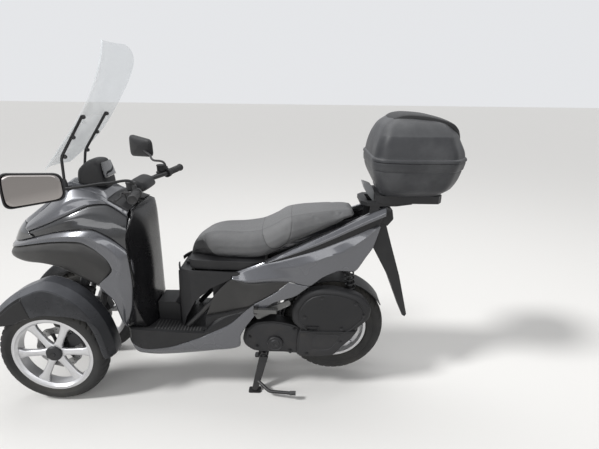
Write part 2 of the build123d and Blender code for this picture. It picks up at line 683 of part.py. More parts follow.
# Shocks: one each side of the rear wheel, from the case and the arm to the seat rails
shock_foot = (1397, 421)
shock_head = (1353, 755)
with BuildPart() as shock:
    add(round_bar([(front_axle_x + shock_foot[0], -shock_y, shock_foot[1]),
                   (front_axle_x + shock_head[0], -shock_y, shock_head[1] - 7)], 7))
    add(round_bar([(front_axle_x + 1389, -shock_y, 480), (front_axle_x + 1359, -shock_y, 708)], 22))
    for (station, z), far in ((shock_foot, shock_y + 10.7), (shock_head, shock_y + 3.7)):
        with BuildSketch(Plane.XZ.offset(shock_y - 8)):
            with Locations((front_axle_x + station, z)):
                Circle(11)
        extrude(amount=far - shock_y + 8)
keep_both(shock.part, "rear_shocks")

# Hugger: a thin arc over the rear tyre, held by the case
hugger_near = rear_tyre_radius + 9.0
with BuildPart() as hugger:
    with BuildSketch(Plane.XZ.offset(-case_near + running_gap)):
        with Locations((rear_axle_x, rear_axle_z)):
            Circle(hugger_near + 4)
            Circle(hugger_near, mode=Mode.SUBTRACT)
    extrude(amount=2 * (case_near - running_gap))
    with BuildSketch(Plane.XZ.offset(-200)):
        with BuildLine():
            Polyline((rear_axle_x, rear_axle_z), (rear_axle_x - 340, rear_axle_z + 60),
                     (rear_axle_x - 100, rear_axle_z + 400), (rear_axle_x + 200, rear_axle_z + 400),
                     (rear_axle_x + 330, rear_axle_z + 200), close=True)
        make_face()
    extrude(amount=400, mode=Mode.INTERSECT)
keep(Compound([*plate_holder.part.solids(), *hugger.part.solids()]), "rear_mudguard")

# Centre stand: a tube through the engine's lugs, two splayed legs, feet and a tang on the left
stand_x = front_axle_x + stand_station
foot_x = front_axle_x + 925
foot_y = 144.0
with BuildPart() as stand:
    add(round_bar([(stand_x, -96, stand_z), (stand_x, 96, stand_z)], stand_tube_radius))
    for side in (-1, 1):
        add(round_bar([(stand_x, side * 88, stand_z), (foot_x, side * foot_y, 5)], 12))
        with BuildSketch(Plane.XY):
            with Locations((foot_x, side * foot_y)):
                RectangleRounded(60, 40, 8)
        extrude(amount=6)
    add(round_bar([(foot_x + 12, -foot_y + 12, 50), (front_axle_x + 1000, -188, 32),
                   (front_axle_x + 1118, -215, 44)], 8, 40))
keep(stand.part, "centre_stand")

# Seat: one cushion on a hinge at its nose
seat_side = [(626, 648), (652, 772), (742, 825), (860, 829), (953, 838), (1032, 871), (1084, 904),
             (1180, 918), (1295, 924), (1392, 922), (1400, 908), (1300, 864), (1000, 720), (985, 654),
             (760, 640), (640, 640)]
seat_plan = [(626, 66), (652, 80), (742, 126), (860, 148), (1000, 158), (1100, 156), (1300, 124),
             (1400, 100)]
with BuildPart() as seat:
    add(outlines_meet(seat_side, seat_plan, [(160, 600), (160, 860), (140, 930), (4, 980)]))
    with BuildSketch(Plane.XZ.offset(-hinge_half)):
        with Locations((front_axle_x + hinge_station, hinge_z)):
            Circle(hinge_pin_radius + hinge_wall)
    extrude(amount=2 * hinge_half)
    with BuildSketch(Plane.XZ.offset(-hinge_half - 10)):
        with Locations((front_axle_x + hinge_station, hinge_z)):
            Circle(hinge_pin_radius + running_gap)
    extrude(amount=2 * hinge_half + 20, mode=Mode.SUBTRACT)
    with BuildSketch(Plane.XZ.offset(hinge_half)):
        with Locations((front_axle_x + hinge_station, hinge_z)):
            Circle(15)
    extrude(amount=16, mode=Mode.SUBTRACT)
    with BuildSketch(Plane.XZ.offset(-hinge_half - 16)):
        with Locations((front_axle_x + hinge_station, hinge_z)):
            Circle(15)
    extrude(amount=16, mode=Mode.SUBTRACT)
keep(seat.part, "seat")

# Carrier: grab rail round the seat's tail, then the box plate and the box
with BuildPart() as carrier:
    add(plan_slab([(1408, 0), (1408, 60), (1436, 96), (1560, 96), (1640, 60), (1640, 0)], 950, 966))
    add(plan_slab([(1440, 0), (1440, 60), (1600, 50), (1600, 0)], 940, 970), mode=Mode.SUBTRACT)
    add(side_slab([(1442, 836.6), (1472, 849.2), (1490, 952), (1450, 952)], 78, 94))
    mirror(about=Plane.XZ)
box_low_z = 1000.0
box_plate = plan_slab([(1470, 0), (1470, 90), (1500, 108), (1740, 108), (1760, 80), (1760, 0)], 966,
                      box_low_z)
keep(Compound([*carrier.part.solids(), *box_plate.solids()]), "carrier")
lid_seam_z = 1158.0
box_plan = [(1432, 4), (1432, 180), (1460, 204), (1640, 216), (1780, 196), (1836, 110), (1836, 4)]
box_front = [(120, 1000), (184, 1040), (216, 1150), (216, 1175), (170, 1290), (96, 1345)]
base_outline = [(1486, box_low_z), (1432, 1120), (1430, lid_seam_z), (1838, lid_seam_z), (1838, 1150),
                (1790, 1030), (1750, box_low_z)]
lid_outline = [(1430, lid_seam_z + 0.4), (1432, 1180), (1470, 1290), (1516, 1330), (1560, 1345),
               (1650, 1340), (1770, 1308), (1812, 1240), (1838, 1175), (1838, lid_seam_z + 0.4)]
keep(shell(base_outline, box_plan, box_front, [(1492, 1006), (1438, 1120), (1436, 1170), (1832, 1170),
                                               (1784, 1033), (1748, 1006)]), "box_base")
keep(shell(lid_outline, box_plan, box_front, [(1436, 1150), (1438, 1180), (1474, 1286), (1519, 1325),
                                              (1561, 1339), (1649, 1334), (1766, 1303), (1807, 1237),
                                              (1832, 1175), (1832, 1150)]), "box_lid")

# Handlebar: column, bar, cover, grips, switches with levers, and the mirrors
bar_radius = 11.0
bar_z = 1015.0
bar_line = lean_plane(column_station, 0, bar_z).origin
bar_points = [(bar_line.X + 97, -335, 1030), (bar_line.X + 62, -190, 1024), (bar_line.X, -70, bar_z),
              (bar_line.X, 70, bar_z), (bar_line.X + 62, 190, 1024), (bar_line.X + 97, 335, 1030)]
with BuildPart() as handlebar:
    with BuildSketch(lean_plane(column_station, 0, head_low_z).offset(-16)):
        Circle(column_radius)
    extrude(amount=(bar_z - head_low_z) / cos(caster) + 16)
    with BuildSketch(lean_plane(column_station, 0, head_high_z).offset(running_gap)):
        Circle(column_radius + 8)
    extrude(amount=16)
    add(round_bar(bar_points, bar_radius, 50))
keep(handlebar.part, "handlebar")
with BuildPart() as bar_cover:
    add(side_slab([(366, 992), (372, 1030), (404, 1052), (450, 1036), (462, 1004), (440, 990)], -76, 76, 5))
    add(round_bar(bar_points, bar_radius + running_gap, 50), mode=Mode.SUBTRACT)
    with BuildSketch(lean_plane(column_station, 0, head_high_z)):
        Circle(column_radius + running_gap)
    extrude(amount=(bar_z - head_high_z) / cos(caster) + 6, mode=Mode.SUBTRACT)
grip_start = Vector(*bar_points[0])
grip_dir = (Vector(*bar_points[1]) - grip_start).normalized()
with BuildPart() as grip:
    with BuildSketch(Plane(origin=grip_start, z_dir=grip_dir)):
        Circle(17)
        Circle(bar_radius, mode=Mode.SUBTRACT)
    extrude(amount=118)
keep_both(grip.part, "grips")
with BuildPart() as control:
    with BuildSketch(Plane(origin=grip_start + grip_dir * 119, z_dir=grip_dir)):
        Circle(22)
        Circle(bar_radius, mode=Mode.SUBTRACT)
    extrude(amount=22)
    add(round_bar([grip_start + grip_dir * 130 + Vector(-20, 0, 0), grip_start + grip_dir * 126 +
                   Vector(-62, 0, -4), grip_start + grip_dir * 2 + Vector(-66, 0, -8)], 5, 12))
right_control = mirror(control.part, about=Plane.XZ)
keep(Compound([*bar_cover.part.solids(), *control.part.solids(), *right_control.solids()]), "controls")

# Mirrors

def mirror_head(centre, across, up, half_width, half_height, depth):
    """A rounded trapezoid head whose face is spanned by two directions."""
    across = Vector(*across).normalized()
    normal = across.cross(Vector(*up)).normalized()
    with BuildPart() as head:
        with BuildSketch(Plane(origin=centre, x_dir=across, z_dir=normal)) as face:
            Polygon((-half_width, -0.8 * half_height), (half_width, -half_height),
                    (half_width, half_height), (-half_width, 0.7 * half_height), align=None)
            fillet(face.vertices(), 18)
        extrude(amount=depth, both=True)
    return head.part


stem_foot = grip_start + grip_dir * 130 + Vector(-6, 0, 20)
with BuildPart() as mirror_left:
    add(mirror_head((front_axle_x + 240, -498, 1112), (-0.83, -0.55, 0), (0, 0, 1), 92, 62, 11))
    add(round_bar([stem_foot, (front_axle_x + 380, -270, 1080), (front_axle_x + 246, -485, 1100)], 6, 40))
    with BuildSketch(Plane(origin=grip_start + grip_dir * 110, z_dir=grip_dir)):
        Circle(22)
    extrude(amount=40, mode=Mode.SUBTRACT)
keep_both(mirror_left.part, "mirrors")

# Instrument, screen and stays stand on the nose panel
keep(side_slab([(150, 1037.2), (160, 1086), (214, 1132), (262, 1125), (285, 1060), (276, 1008),
                (262, 1012.3)], -70, 70, 0), "instrument")
screen_wall = 5.0
screen_rows = [(1095, 18, 100, 26), (1185, 100, 146, 38), (1320, 209, 158, 42), (1464, 295, 165, 45),
               (1558, 330, 160, 44), (1612, 338, 112, 22)]
with BuildPart() as screen:
    for z, middle, half, wrap in screen_rows:
        x = front_axle_x + middle
        with BuildSketch(Plane.XY.offset(z)):
            with BuildLine():
                ThreePointArc((x + wrap, -half), (x, 0), (x + wrap, half))
                Line((x + wrap, half), (x + wrap + screen_wall, half))
                ThreePointArc((x + wrap + screen_wall, half), (x + screen_wall, 0),
                              (x + wrap + screen_wall, -half))
                Line((x + wrap + screen_wall, -half), (x + wrap, -half))
            make_face()
    loft()
keep(screen.part, "windscreen")
with BuildPart() as stay:
    add(round_bar([(front_axle_x + 112, -88, 1036), (front_axle_x + 126, -104, 1150),
                   (front_axle_x + 243.9, -110, 1323)], 6, 60))
keep_both(stay.part, "screen_stays")

# Passenger pegs, folded back along the side panels
with BuildPart() as peg:
    with BuildSketch(Plane.XY.offset(peg_z - 9)):
        with BuildLine():
            Polyline((front_axle_x + peg_station, -peg_pivot_y + 9),
                     (front_axle_x + peg_station, -peg_pivot_y - 9),
                     (front_axle_x + peg_station + 96, -peg_pivot_y - 13),
                     (front_axle_x + peg_station + 100, -peg_pivot_y + 5), close=True)
        make_face()
        with Locations((front_axle_x + peg_station, -peg_pivot_y)):
            Circle(9)
    extrude(amount=18)
    with BuildSketch(Plane.XY.offset(peg_z - 20)):
        with Locations((front_axle_x + peg_station, -peg_pivot_y)):
            Circle(4.3)
    extrude(amount=40, mode=Mode.SUBTRACT)
keep_pair(peg.part, "footpeg")
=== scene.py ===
import bpy
import bmesh
import json
import numpy as np
from mathutils import Matrix, Vector

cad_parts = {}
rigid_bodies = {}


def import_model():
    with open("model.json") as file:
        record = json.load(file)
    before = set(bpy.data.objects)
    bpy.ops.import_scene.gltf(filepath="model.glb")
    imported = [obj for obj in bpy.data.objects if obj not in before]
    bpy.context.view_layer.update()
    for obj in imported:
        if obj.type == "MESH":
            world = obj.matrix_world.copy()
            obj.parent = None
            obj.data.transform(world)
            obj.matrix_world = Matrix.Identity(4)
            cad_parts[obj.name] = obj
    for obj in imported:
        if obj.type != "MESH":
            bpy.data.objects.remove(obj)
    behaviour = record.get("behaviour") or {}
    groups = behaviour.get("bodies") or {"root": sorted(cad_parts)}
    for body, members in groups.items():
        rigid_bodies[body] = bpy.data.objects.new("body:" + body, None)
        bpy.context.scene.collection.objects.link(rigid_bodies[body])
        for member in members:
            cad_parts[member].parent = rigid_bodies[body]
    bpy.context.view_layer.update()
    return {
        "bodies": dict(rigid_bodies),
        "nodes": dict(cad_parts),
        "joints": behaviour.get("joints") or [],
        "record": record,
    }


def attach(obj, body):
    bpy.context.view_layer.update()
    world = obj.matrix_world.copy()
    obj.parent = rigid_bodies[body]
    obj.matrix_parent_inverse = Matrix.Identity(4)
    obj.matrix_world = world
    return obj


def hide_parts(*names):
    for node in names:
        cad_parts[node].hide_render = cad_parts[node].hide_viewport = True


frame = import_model()
nodes = frame["nodes"]
print("frame loaded")


def addObject(name, data):
    made = bpy.data.objects.new(name, data)
    bpy.context.scene.collection.objects.link(made)
    return made


# Camera. Stations are millimetres behind the front axle, as in the CAD source.
frontAxle = -787.0
view = {"place": (0.3565, -1.8766, 1.4581), "right": (0.99991, 0.00715, 0.01123),
        "up": (-0.01292, 0.31773, 0.94809), "ahead": (-0.00321, 0.94815, -0.31780), "lens": 25.30}
camera = addObject("camera", bpy.data.cameras.new("camera"))
turn = Matrix([view["right"], view["up"], [-a for a in view["ahead"]]]).transposed()
camera.matrix_world = Matrix.LocRotScale(view["place"], turn, (1, 1, 1))
camera.data.sensor_width = 36.0
camera.data.lens = view["lens"]
bpy.context.scene.camera = camera
bpy.context.scene.view_settings.view_transform = "Standard"


def lookAt(place, target):
    # the turn that points a lamp's back axis at a target, with its long side level
    back = (Vector(place) - Vector(target)).normalized()
    side = Vector((0, 0, 1)).cross(back).normalized()
    return Matrix([side, back.cross(side), back]).transposed().to_euler()


# Node maths written as Python sums
class Value:
    def __init__(self, finish, socket):
        self.finish, self.socket = finish, socket

    def maths(self, operation, *others):
        return self.finish.node("ShaderNodeMath", dict(enumerate([self, *others])), operation=operation)

    def __add__(self, other):
        return self.maths("ADD", other)

    def __sub__(self, other):
        return self.maths("SUBTRACT", other)

    def __mul__(self, other):
        return self.maths("MULTIPLY", other)

    def __rsub__(self, other):
        return (self * -1.0) + other

    def __abs__(self):
        return self.maths("ABSOLUTE")

    __radd__ = __add__
    __rmul__ = __mul__

    def between(self, low, high):
        return self.finish.node("ShaderNodeMapRange", {"Value": self, "From Min": low, "From Max": high},
                                "Result", interpolation_type="SMOOTHSTEP")


class Finish:
    # one material: constants on the shader's sockets, and what varies fed to a few of them
    def __init__(self, name, colour, roughness, constants=None):
        self.material = bpy.data.materials.new(name)
        self.material.use_nodes = True
        self.tree = self.material.node_tree
        self.shader = self.tree.nodes["Principled BSDF"]
        for key, value in {"Base Color": (*colour, 1.0), "Roughness": roughness, **(constants or {})}.items():
            self.shader.inputs[key].default_value = value

    def node(self, kind, sockets=None, output=0, **settings):
        # one node and one of its outputs: settings first, then the values or links of its sockets
        made = self.tree.nodes.new(kind)
        for key, value in settings.items():
            setattr(made, key, value)
        for key, value in (sockets or {}).items():
            if isinstance(value, Value):
                self.tree.links.new(value.socket, made.inputs[key])
            else:
                made.inputs[key].default_value = value
        return Value(self, made.outputs[output])

    def along(self, output, axis):
        # one axis of a coordinate: Object is a point's place, Normal the way that it faces
        return self.node("ShaderNodeSeparateXYZ", {0: self.node("ShaderNodeTexCoord", None, output)}, axis)

    def facingUp(self):
        return self.along("Normal", 2)

    def place(self, stretch=(1, 1, 1)):
        return self.node("ShaderNodeMapping", {"Vector": self.node("ShaderNodeTexCoord", None, "Object"),
                                               "Scale": stretch})

    def noise(self, scale, detail=3.0, rough=0.55, stretch=(1, 1, 1)):
        return self.node("ShaderNodeTexNoise", {"Vector": self.place(stretch), "Scale": scale,
                                                "Detail": detail, "Roughness": rough}, "Fac")

    def cells(self, scale, feature="F1"):
        return self.node("ShaderNodeTexVoronoi", {"Vector": self.place(), "Scale": scale}, "Distance",
                         feature=feature)

    def mix(self, factor, first, second):
        first, second = (c if isinstance(c, Value) else (*c, 1.0) for c in (first, second))
        return self.node("ShaderNodeMix", {0: factor, 6: first, 7: second}, 2, data_type="RGBA")

    def feed(self, socket, value):
        self.tree.links.new(value.socket, self.shader.inputs[socket])

    def bump(self, height, strength, distance):
        self.feed("Normal", self.node("ShaderNodeBump", {"Height": height, "Strength": strength,
                                                         "Distance": distance}))


def paint(name, colour, flake, dust):
    # metallic paint: fine flakes change the base, slow noise changes the gloss, dust lies on top
    made = Finish(name, colour, 0.3, {"Metallic": 0.5, "Coat Weight": 1.0, "Coat Roughness": 0.05})
    flakes = made.noise(1200, 1.0)
    base = made.mix(flakes.between(0.3, 0.75), colour, flake)
    lying = made.noise(7, 5.0, 0.65).between(0.35, 0.9) * made.facingUp().between(0.1, 1.0) * dust
    made.feed("Base Color", made.mix(lying, base, (0.34, 0.33, 0.31)))
    made.feed("Roughness", made.noise(6, 2.0) * 0.06 + lying * 0.3 + 0.24)
    return made.material


def plastic(name, colour, grain, rough=0.55, fadedAndLitTone=(0.12, 0.12, 0.125), share=0.35):
    # moulded plastic: a fine leather-like grain, paler in random faded patches, and paler where it faces up
    # as a painted highlight of light from above
    made = Finish(name, colour, rough, {"Specular IOR Level": 0.34})
    # pale holds the random faded patches and the painted highlight on up-facing faces; both mix towards the
    # given faded tone, which is also the highlight's colour
    pale = (made.noise(5, 5.0, 0.6).between(0.4, 0.85) + made.facingUp().between(0.2, 0.9)) * share
    scuff = made.noise(60, 6.0, 0.7, (1, 1, 0.25)).between(0.62, 0.8) * 0.18
    made.feed("Base Color", made.mix(pale + scuff, colour, fadedAndLitTone))
    made.feed("Roughness", made.noise(14, 4.0) * 0.22 + (rough - 0.1))
    made.bump(made.cells(grain) * 0.7 + made.noise(grain * 1.7) * 0.6, 0.22, 0.0006)
    return made.material


def metal(name, colour, rough, metallic=0.9, grain=220, depth=0.25, grime=0.25):
    # cast or painted metal: cast grain, and grime in soft patches
    made = Finish(name, colour, rough, {"Metallic": metallic})
    dirt = made.noise(16, 6.0, 0.65).between(0.45, 0.85) * grime
    made.feed("Base Color", made.mix(dirt, colour, (0.09, 0.08, 0.07)))
    made.feed("Roughness", made.noise(22, 4.0) * 0.2 + dirt * 0.4 + (rough - 0.1))
    made.bump(made.noise(grain, 3.0), depth, 0.0005)
    return made.material


graphite = paint("graphitePaint", (0.070, 0.072, 0.081), (0.12, 0.123, 0.136), 0.16)
darkGloss = paint("darkPaint", (0.011, 0.0115, 0.013), (0.024, 0.025, 0.028), 0.05)
# each plastic's fourth colour is its faded tone and also the colour of its painted highlight where it faces
# up
satinGrey = plastic("satinGreyPlastic", (0.026, 0.0255, 0.025), 900, 0.34, (0.085, 0.083, 0.08))
guardSatin = plastic("guardSatinPlastic", (0.015, 0.016, 0.019), 900, 0.28, (0.15, 0.155, 0.17), 0.45)
railGrey = plastic("railGreyPlastic", (0.17, 0.175, 0.18), 600, 0.45, (0.26, 0.26, 0.26), 0.4)
blackPlastic = plastic("blackPlastic", (0.011, 0.011, 0.012), 700, 0.5, (0.05, 0.05, 0.052), 0.25)
glossBlack = plastic("glossBlackPlastic", (0.008, 0.008, 0.009), 500, 0.25, (0.025, 0.025, 0.025), 0.15)
boxPlastic = plastic("boxPlastic", (0.024, 0.025, 0.028), 420, 0.44, (0.13, 0.132, 0.136), 0.42)
tyreRubber = plastic("tyreRubber", (0.022, 0.022, 0.022), 500, 0.75, (0.085, 0.08, 0.07), 0.4)
gripRubber = plastic("gripRubber", (0.034, 0.034, 0.035), 600, 0.6, (0.11, 0.11, 0.11), 0.4)
silverRim = metal("silverRim", (0.60, 0.60, 0.61), 0.36, 0.75, 500, 0.08, 0.22)
castDark = metal("darkCasting", (0.040, 0.040, 0.042), 0.5, 0.7, 260, 0.4, 0.35)
castGrey = metal("greyCasting", (0.13, 0.13, 0.128), 0.45, 0.8, 260, 0.4, 0.4)
blackSteel = metal("blackSteel", (0.016, 0.016, 0.017), 0.4, 0.2, 200, 0.08, 0.25)
bareSteel = metal("bareSteel", (0.30, 0.30, 0.30), 0.34, 1.0, 300, 0.05, 0.3)
mirrorGlass = Finish("mirrorGlass", (0.32, 0.30, 0.29), 0.03, {"Metallic": 1.0}).material
redLens = Finish("redLens", (0.42, 0.012, 0.012), 0.14, {"Coat Weight": 0.8}).material


def darkLens():
    made = Finish("darkLens", (0.012, 0.013, 0.016), 0.08, {"Coat Weight": 1.0, "Coat Roughness": 0.03})
    ribs = made.noise(4, 2.0, 0.5, (1, 1, 6)).between(0.3, 0.8)
    made.feed("Base Color", made.mix(ribs * 0.5, (0.010, 0.011, 0.013), (0.05, 0.055, 0.065)))
    return made.material


# Seams of the seat, as distances in millimetres from each seam line; they take numbers or node values
def panelEdge(s, y):
    # out from the edge of the top panel, which is widest at station 1030
    s = s - 1030.0
    return abs(y) - (95.0 - s * s * 3.3e-4)


def rollEdge(s, z):
    # out from the pillion's front roll, an ellipse in side view; true near its edge only
    s, z = (s - 1036.0) * (1 / 68), (z - 872.0) * (1 / 116)
    return (s * s + z * z - 1.0) * 40.0


def noseSeam(s, z):
    # back from the slanted seam that closes the nose
    return (s - 697.0) * 0.842 + (z - 796.0) * 0.539


def seatVinyl():
    # grained vinyl: mid grey sides, a paler top panel and roll, a dark nose, dark seams; paler still the more
    # a face points up, and in random patches
    made = Finish("seatVinyl", (0.08, 0.081, 0.083), 0.55, {"Specular IOR Level": 0.4})
    s, y, z = (made.along("Object", axis) * 1000.0 for axis in range(3))
    s = s - frontAxle
    up = made.facingUp()
    above = up.between(0.2, 0.3)
    panel, roll, nose = panelEdge(s, y), rollEdge(s, z), noseSeam(s, z)
    paler = ((1.0 - panel.between(-0.5, 0.5)) * above).maths("MAXIMUM", 1.0 - roll.between(-0.5, 0.5))
    # lighter the more it faces up, and in random noise patches
    upAndPatchPale = up.between(0.2, 0.95) * 0.25 + made.noise(9, 5.0, 0.6).between(0.35, 0.8) * 0.3
    base = made.mix(paler, (0.080, 0.081, 0.083), (0.118, 0.119, 0.121))
    base = made.mix(upAndPatchPale, base, (0.20, 0.20, 0.202))
    low = 1.0 - up.between(0.55, 0.65)
    base = made.mix((1.0 - nose.between(-0.5, 0.5)) * low, base, (0.024, 0.024, 0.025))
    lines = [(1.0 - abs(edge).between(0.5, 1.8)) * where
             for edge, where in ((panel, above), (roll, 1.0), (nose, low))]
    seam = lines[0].maths("MAXIMUM", lines[1]).maths("MAXIMUM", lines[2])
    made.feed("Base Color", made.mix(seam * 0.7, base, (0.02, 0.02, 0.02)))
    made.feed("Roughness", made.noise(18, 4.0) * 0.2 + 0.45)
    made.bump(made.cells(1000, "DISTANCE_TO_EDGE").between(0.0, 0.25) + made.noise(500) * 0.5, 0.3, 0.0008)
    return made.material


def screenSheet():
    # clear sheet, hazed in soft patches and by dirt near its foot
    made = Finish("screenSheet", (0.74, 0.78, 0.81), 0.12, {"Specular IOR Level": 0.5})
    haze = made.noise(5, 1.0, 0.5, (1, 1, 0.4)).between(0.3, 0.75)
    low = 1.0 - made.along("Object", 2).between(1.10, 1.40)
    made.feed("Alpha", haze * 0.10 + low * 0.14 + 0.26)
    made.feed("Roughness", haze * 0.12 + 0.08)
    return made.material


lensDark = darkLens()
seatCover = seatVinyl()
screenClear = screenSheet()
print("materials made")


# Shapes worked out with numpy. Tables hold (station, height) in millimetres.
def hermite(t, h, start, end, leave, arrive):
    # the cubic that goes from start to end over a step h, with its slope at both
    return ((1 + 2 * t) * (1 - t) ** 2 * start + t * (1 - t) ** 2 * h * leave
            + t * t * (3 - 2 * t) * end + t * t * (t - 1) * h * arrive)


def ease(xs, ys, at):
    # monotone cubic through a table of values: slopes are weighted harmonic means of the steps
    xs, ys, at = (np.asarray(a, float) for a in (xs, ys, at))
    step, rise = np.diff(xs), np.diff(ys) / np.diff(xs)
    slope = np.zeros(len(xs))
    same = rise[1:] * rise[:-1] > 0
    w1, w2 = 2 * step[1:] + step[:-1], step[1:] + 2 * step[:-1]
    inner = np.zeros(len(xs) - 2)
    inner[same] = (w1 + w2)[same] / (w1[same] / rise[:-1][same] + w2[same] / rise[1:][same])
    slope[1:-1], slope[0], slope[-1] = inner, rise[0], rise[-1]
    at = np.clip(at, xs[0], xs[-1])
    i = np.clip(np.searchsorted(xs, at, side="right") - 1, 0, len(xs) - 2)
    return hermite((at - xs[i]) / step[i], step[i], ys[i], ys[i + 1], slope[i], slope[i + 1])


def flow(points, count, closed=False, sharp=0.0):
    # a smooth line through points: cubic with chord lengths as its parameter, evenly spaced after
    points = np.asarray(points, float)
    if closed:
        points = np.vstack([points[-2:], points, points[:3]])
    chord = np.concatenate([[0], np.cumsum(np.linalg.norm(np.diff(points, axis=0), axis=1) + 1e-9)])
    slope = np.gradient(points, chord, axis=0) * (1 - sharp)
    low, high = (chord[2], chord[-3]) if closed else (chord[0], chord[-1])
    at = np.linspace(low, high, 24 * len(points))
    i = np.clip(np.searchsorted(chord, at, side="right") - 1, 0, len(chord) - 2)
    h = np.diff(chord)[i][:, None]
    fine = hermite((at - chord[i])[:, None] / h, h, points[i], points[i + 1], slope[i], slope[i + 1])
    run = np.concatenate([[0], np.cumsum(np.linalg.norm(np.diff(fine, axis=0), axis=1))])
    spots = np.linspace(0, run[-1], count + 1 if closed else count)
    line = np.stack([np.interp(spots, run, fine[:, k]) for k in range(fine.shape[1])], 1)
    return line[:-1] if closed else line


def cornered(points, radius, bend=7, run=4):
    # a closed outline of straight sides whose corners are parabolas that start a radius from each corner;
    # the same counts at every level, so levels can be joined
    points = np.asarray(points, float)
    before, after = np.roll(points, 1, axis=-2) - points, np.roll(points, -1, axis=-2) - points
    reach = [np.linalg.norm(way, axis=-1, keepdims=True) for way in (before, after)]
    cut = np.minimum(radius, 0.45 * np.minimum(*reach))
    enter, leave = points + before / reach[0] * cut, points + after / reach[1] * cut
    t = np.linspace(0, 1, bend)[:, None]
    arc = ((1 - t) ** 2 * enter[..., None, :] + 2 * t * (1 - t) * points[..., None, :]
           + t * t * leave[..., None, :])
    t = np.linspace(0, 1, run + 2)[1:-1, None]
    line = leave[..., None, :] * (1 - t) + np.roll(enter, -1, axis=-2)[..., None, :] * t
    loop = np.concatenate([arc, line], -2)
    return loop.reshape(*points.shape[:-2], -1, 2)


def gridOf(s, y, z):
    # numbers, rows and columns spread to one grid of (station, y, z)
    return np.stack(np.broadcast_arrays(s, y, z), -1)


def gridFaces(rows, cols, wrapRows, wrapCols):
    r = np.arange(rows if wrapRows else rows - 1)
    c = np.arange(cols if wrapCols else cols - 1)
    a, b = np.meshgrid(r, c, indexing="ij")
    a2, b2 = (a + 1) % rows, (b + 1) % cols
    return np.stack([a * cols + b, a2 * cols + b, a2 * cols + b2, a * cols + b2], -1).reshape(-1, 4)


def makePiece(name, grids, body, finish, form="open", outFrom=None, mirrored=False, thick=0.0, bevel=0.0,
              sharpAngle=50, replaces=None):
    # one mesh from grids that each face away from outFrom. A tube's columns close round, a bar is a tube
    # with both ends closed, a turned piece's rows close round, and a ring's rows and columns both do
    points, faces, base = [], [], 0
    for grid in grids if isinstance(grids, list) else [grids]:
        grid = np.asarray(grid, float)
        rows, cols = grid.shape[:2]
        flat = grid.reshape(-1, 3)
        quads = gridFaces(rows, cols, form in ("turned", "ring"), form in ("tube", "bar", "ring"))
        centre = flat.mean(0) if outFrom is None else np.asarray(outFrom, float)
        if form == "bar":
            # a fan of triangles round a new point in the middle of each end
            flat = np.vstack([flat, flat[:cols].mean(0), flat[-cols:].mean(0)])
            c, last = np.arange(cols), (rows - 1) * cols
            after, low, high = (c + 1) % cols, np.full(cols, rows * cols), np.full(cols, rows * cols + 1)
            quads = np.vstack([quads, np.stack([c, after, low, low], 1),
                               np.stack([after + last, c + last, high, high], 1)])
        p = flat[quads]
        normal = np.cross(p[:, 2] - p[:, 0], p[:, 1] - p[:, 3])
        if (normal * (p.mean(1) - centre)).sum() > 0:
            quads = quads[:, ::-1]
        for side in (1, -1) if mirrored else (1,):
            points.append(flat * [1, side, 1])
            faces.append(quads[:, ::side] + base)
            base += len(flat)
    points, faces = np.vstack(points), np.vstack(faces)
    points = (points + [frontAxle, 0, 0]) / 1000.0
    mesh = bpy.data.meshes.new(name)
    mesh.from_pydata(points.tolist(), [], [list(dict.fromkeys(f)) for f in faces.tolist()])
    work = bmesh.new()
    work.from_mesh(mesh)
    bmesh.ops.remove_doubles(work, verts=work.verts, dist=2e-5)
    bmesh.ops.dissolve_degenerate(work, edges=work.edges, dist=1e-6)
    work.to_mesh(mesh)
    work.free()
    mesh.shade_smooth()
    mesh.set_sharp_from_angle(angle=np.radians(sharpAngle))
    mesh.materials.append(finish)
    piece = addObject(name, mesh)
    if thick:
        wall = piece.modifiers.new("wall", "SOLIDIFY")
        wall.thickness, wall.offset = thick / 1000.0, -1.0
    if bevel:
        edge = piece.modifiers.new("edge", "BEVEL")
        edge.width, edge.segments = bevel / 1000.0, 2
        edge.limit_method, edge.angle_limit = "ANGLE", np.radians(40)
    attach(piece, body)
    if replaces:
        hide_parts(replaces)
    return piece


def turned(profile, centre, steps):
    # a profile of (y, radius) carried round a wheel's axle
    y, radius = np.asarray(profile, float).T
    angle = np.linspace(0, 2 * np.pi, steps, endpoint=False)[:, None]
    return gridOf(centre[0] + radius * np.cos(angle), centre[1] + y, centre[2] + radius * np.sin(angle))


def spun(profile, start, frame, sides):
    # a profile of (distance, radius) carried round a line; frame is its way and two directions across it
    way, one, two = frame
    turn = np.linspace(0, 2 * np.pi, sides, endpoint=False)[None, :, None]
    run, size = np.asarray(profile, float).T[..., None, None]
    return start + run * way + size * (np.cos(turn) * one + np.sin(turn) * two)


def scaledRings(outline, rows, centre=None):
    # a side-view outline scaled about its centre: one ring for each (share, y)
    centre = outline.mean(0) if centre is None else np.array(centre)
    share, y = np.array(rows, float).T[..., None]
    ring = centre + (outline - centre) * share[..., None]
    return gridOf(ring[..., 0], y, ring[..., 1])


def closing(ring, point, shares):
    # rings on the way from a ring to a point
    return ring + (np.array(point) - ring) * np.array(shares)[:, None, None]


def wheelBar(centre, angle, run, across, y):
    # a bar out from a wheel's axle: run is the distance out, and across lies along the rim
    return gridOf(centre[0] + run * np.cos(angle) - across * np.sin(angle), centre[1] + y,
                  centre[2] + run * np.sin(angle) + across * np.cos(angle))


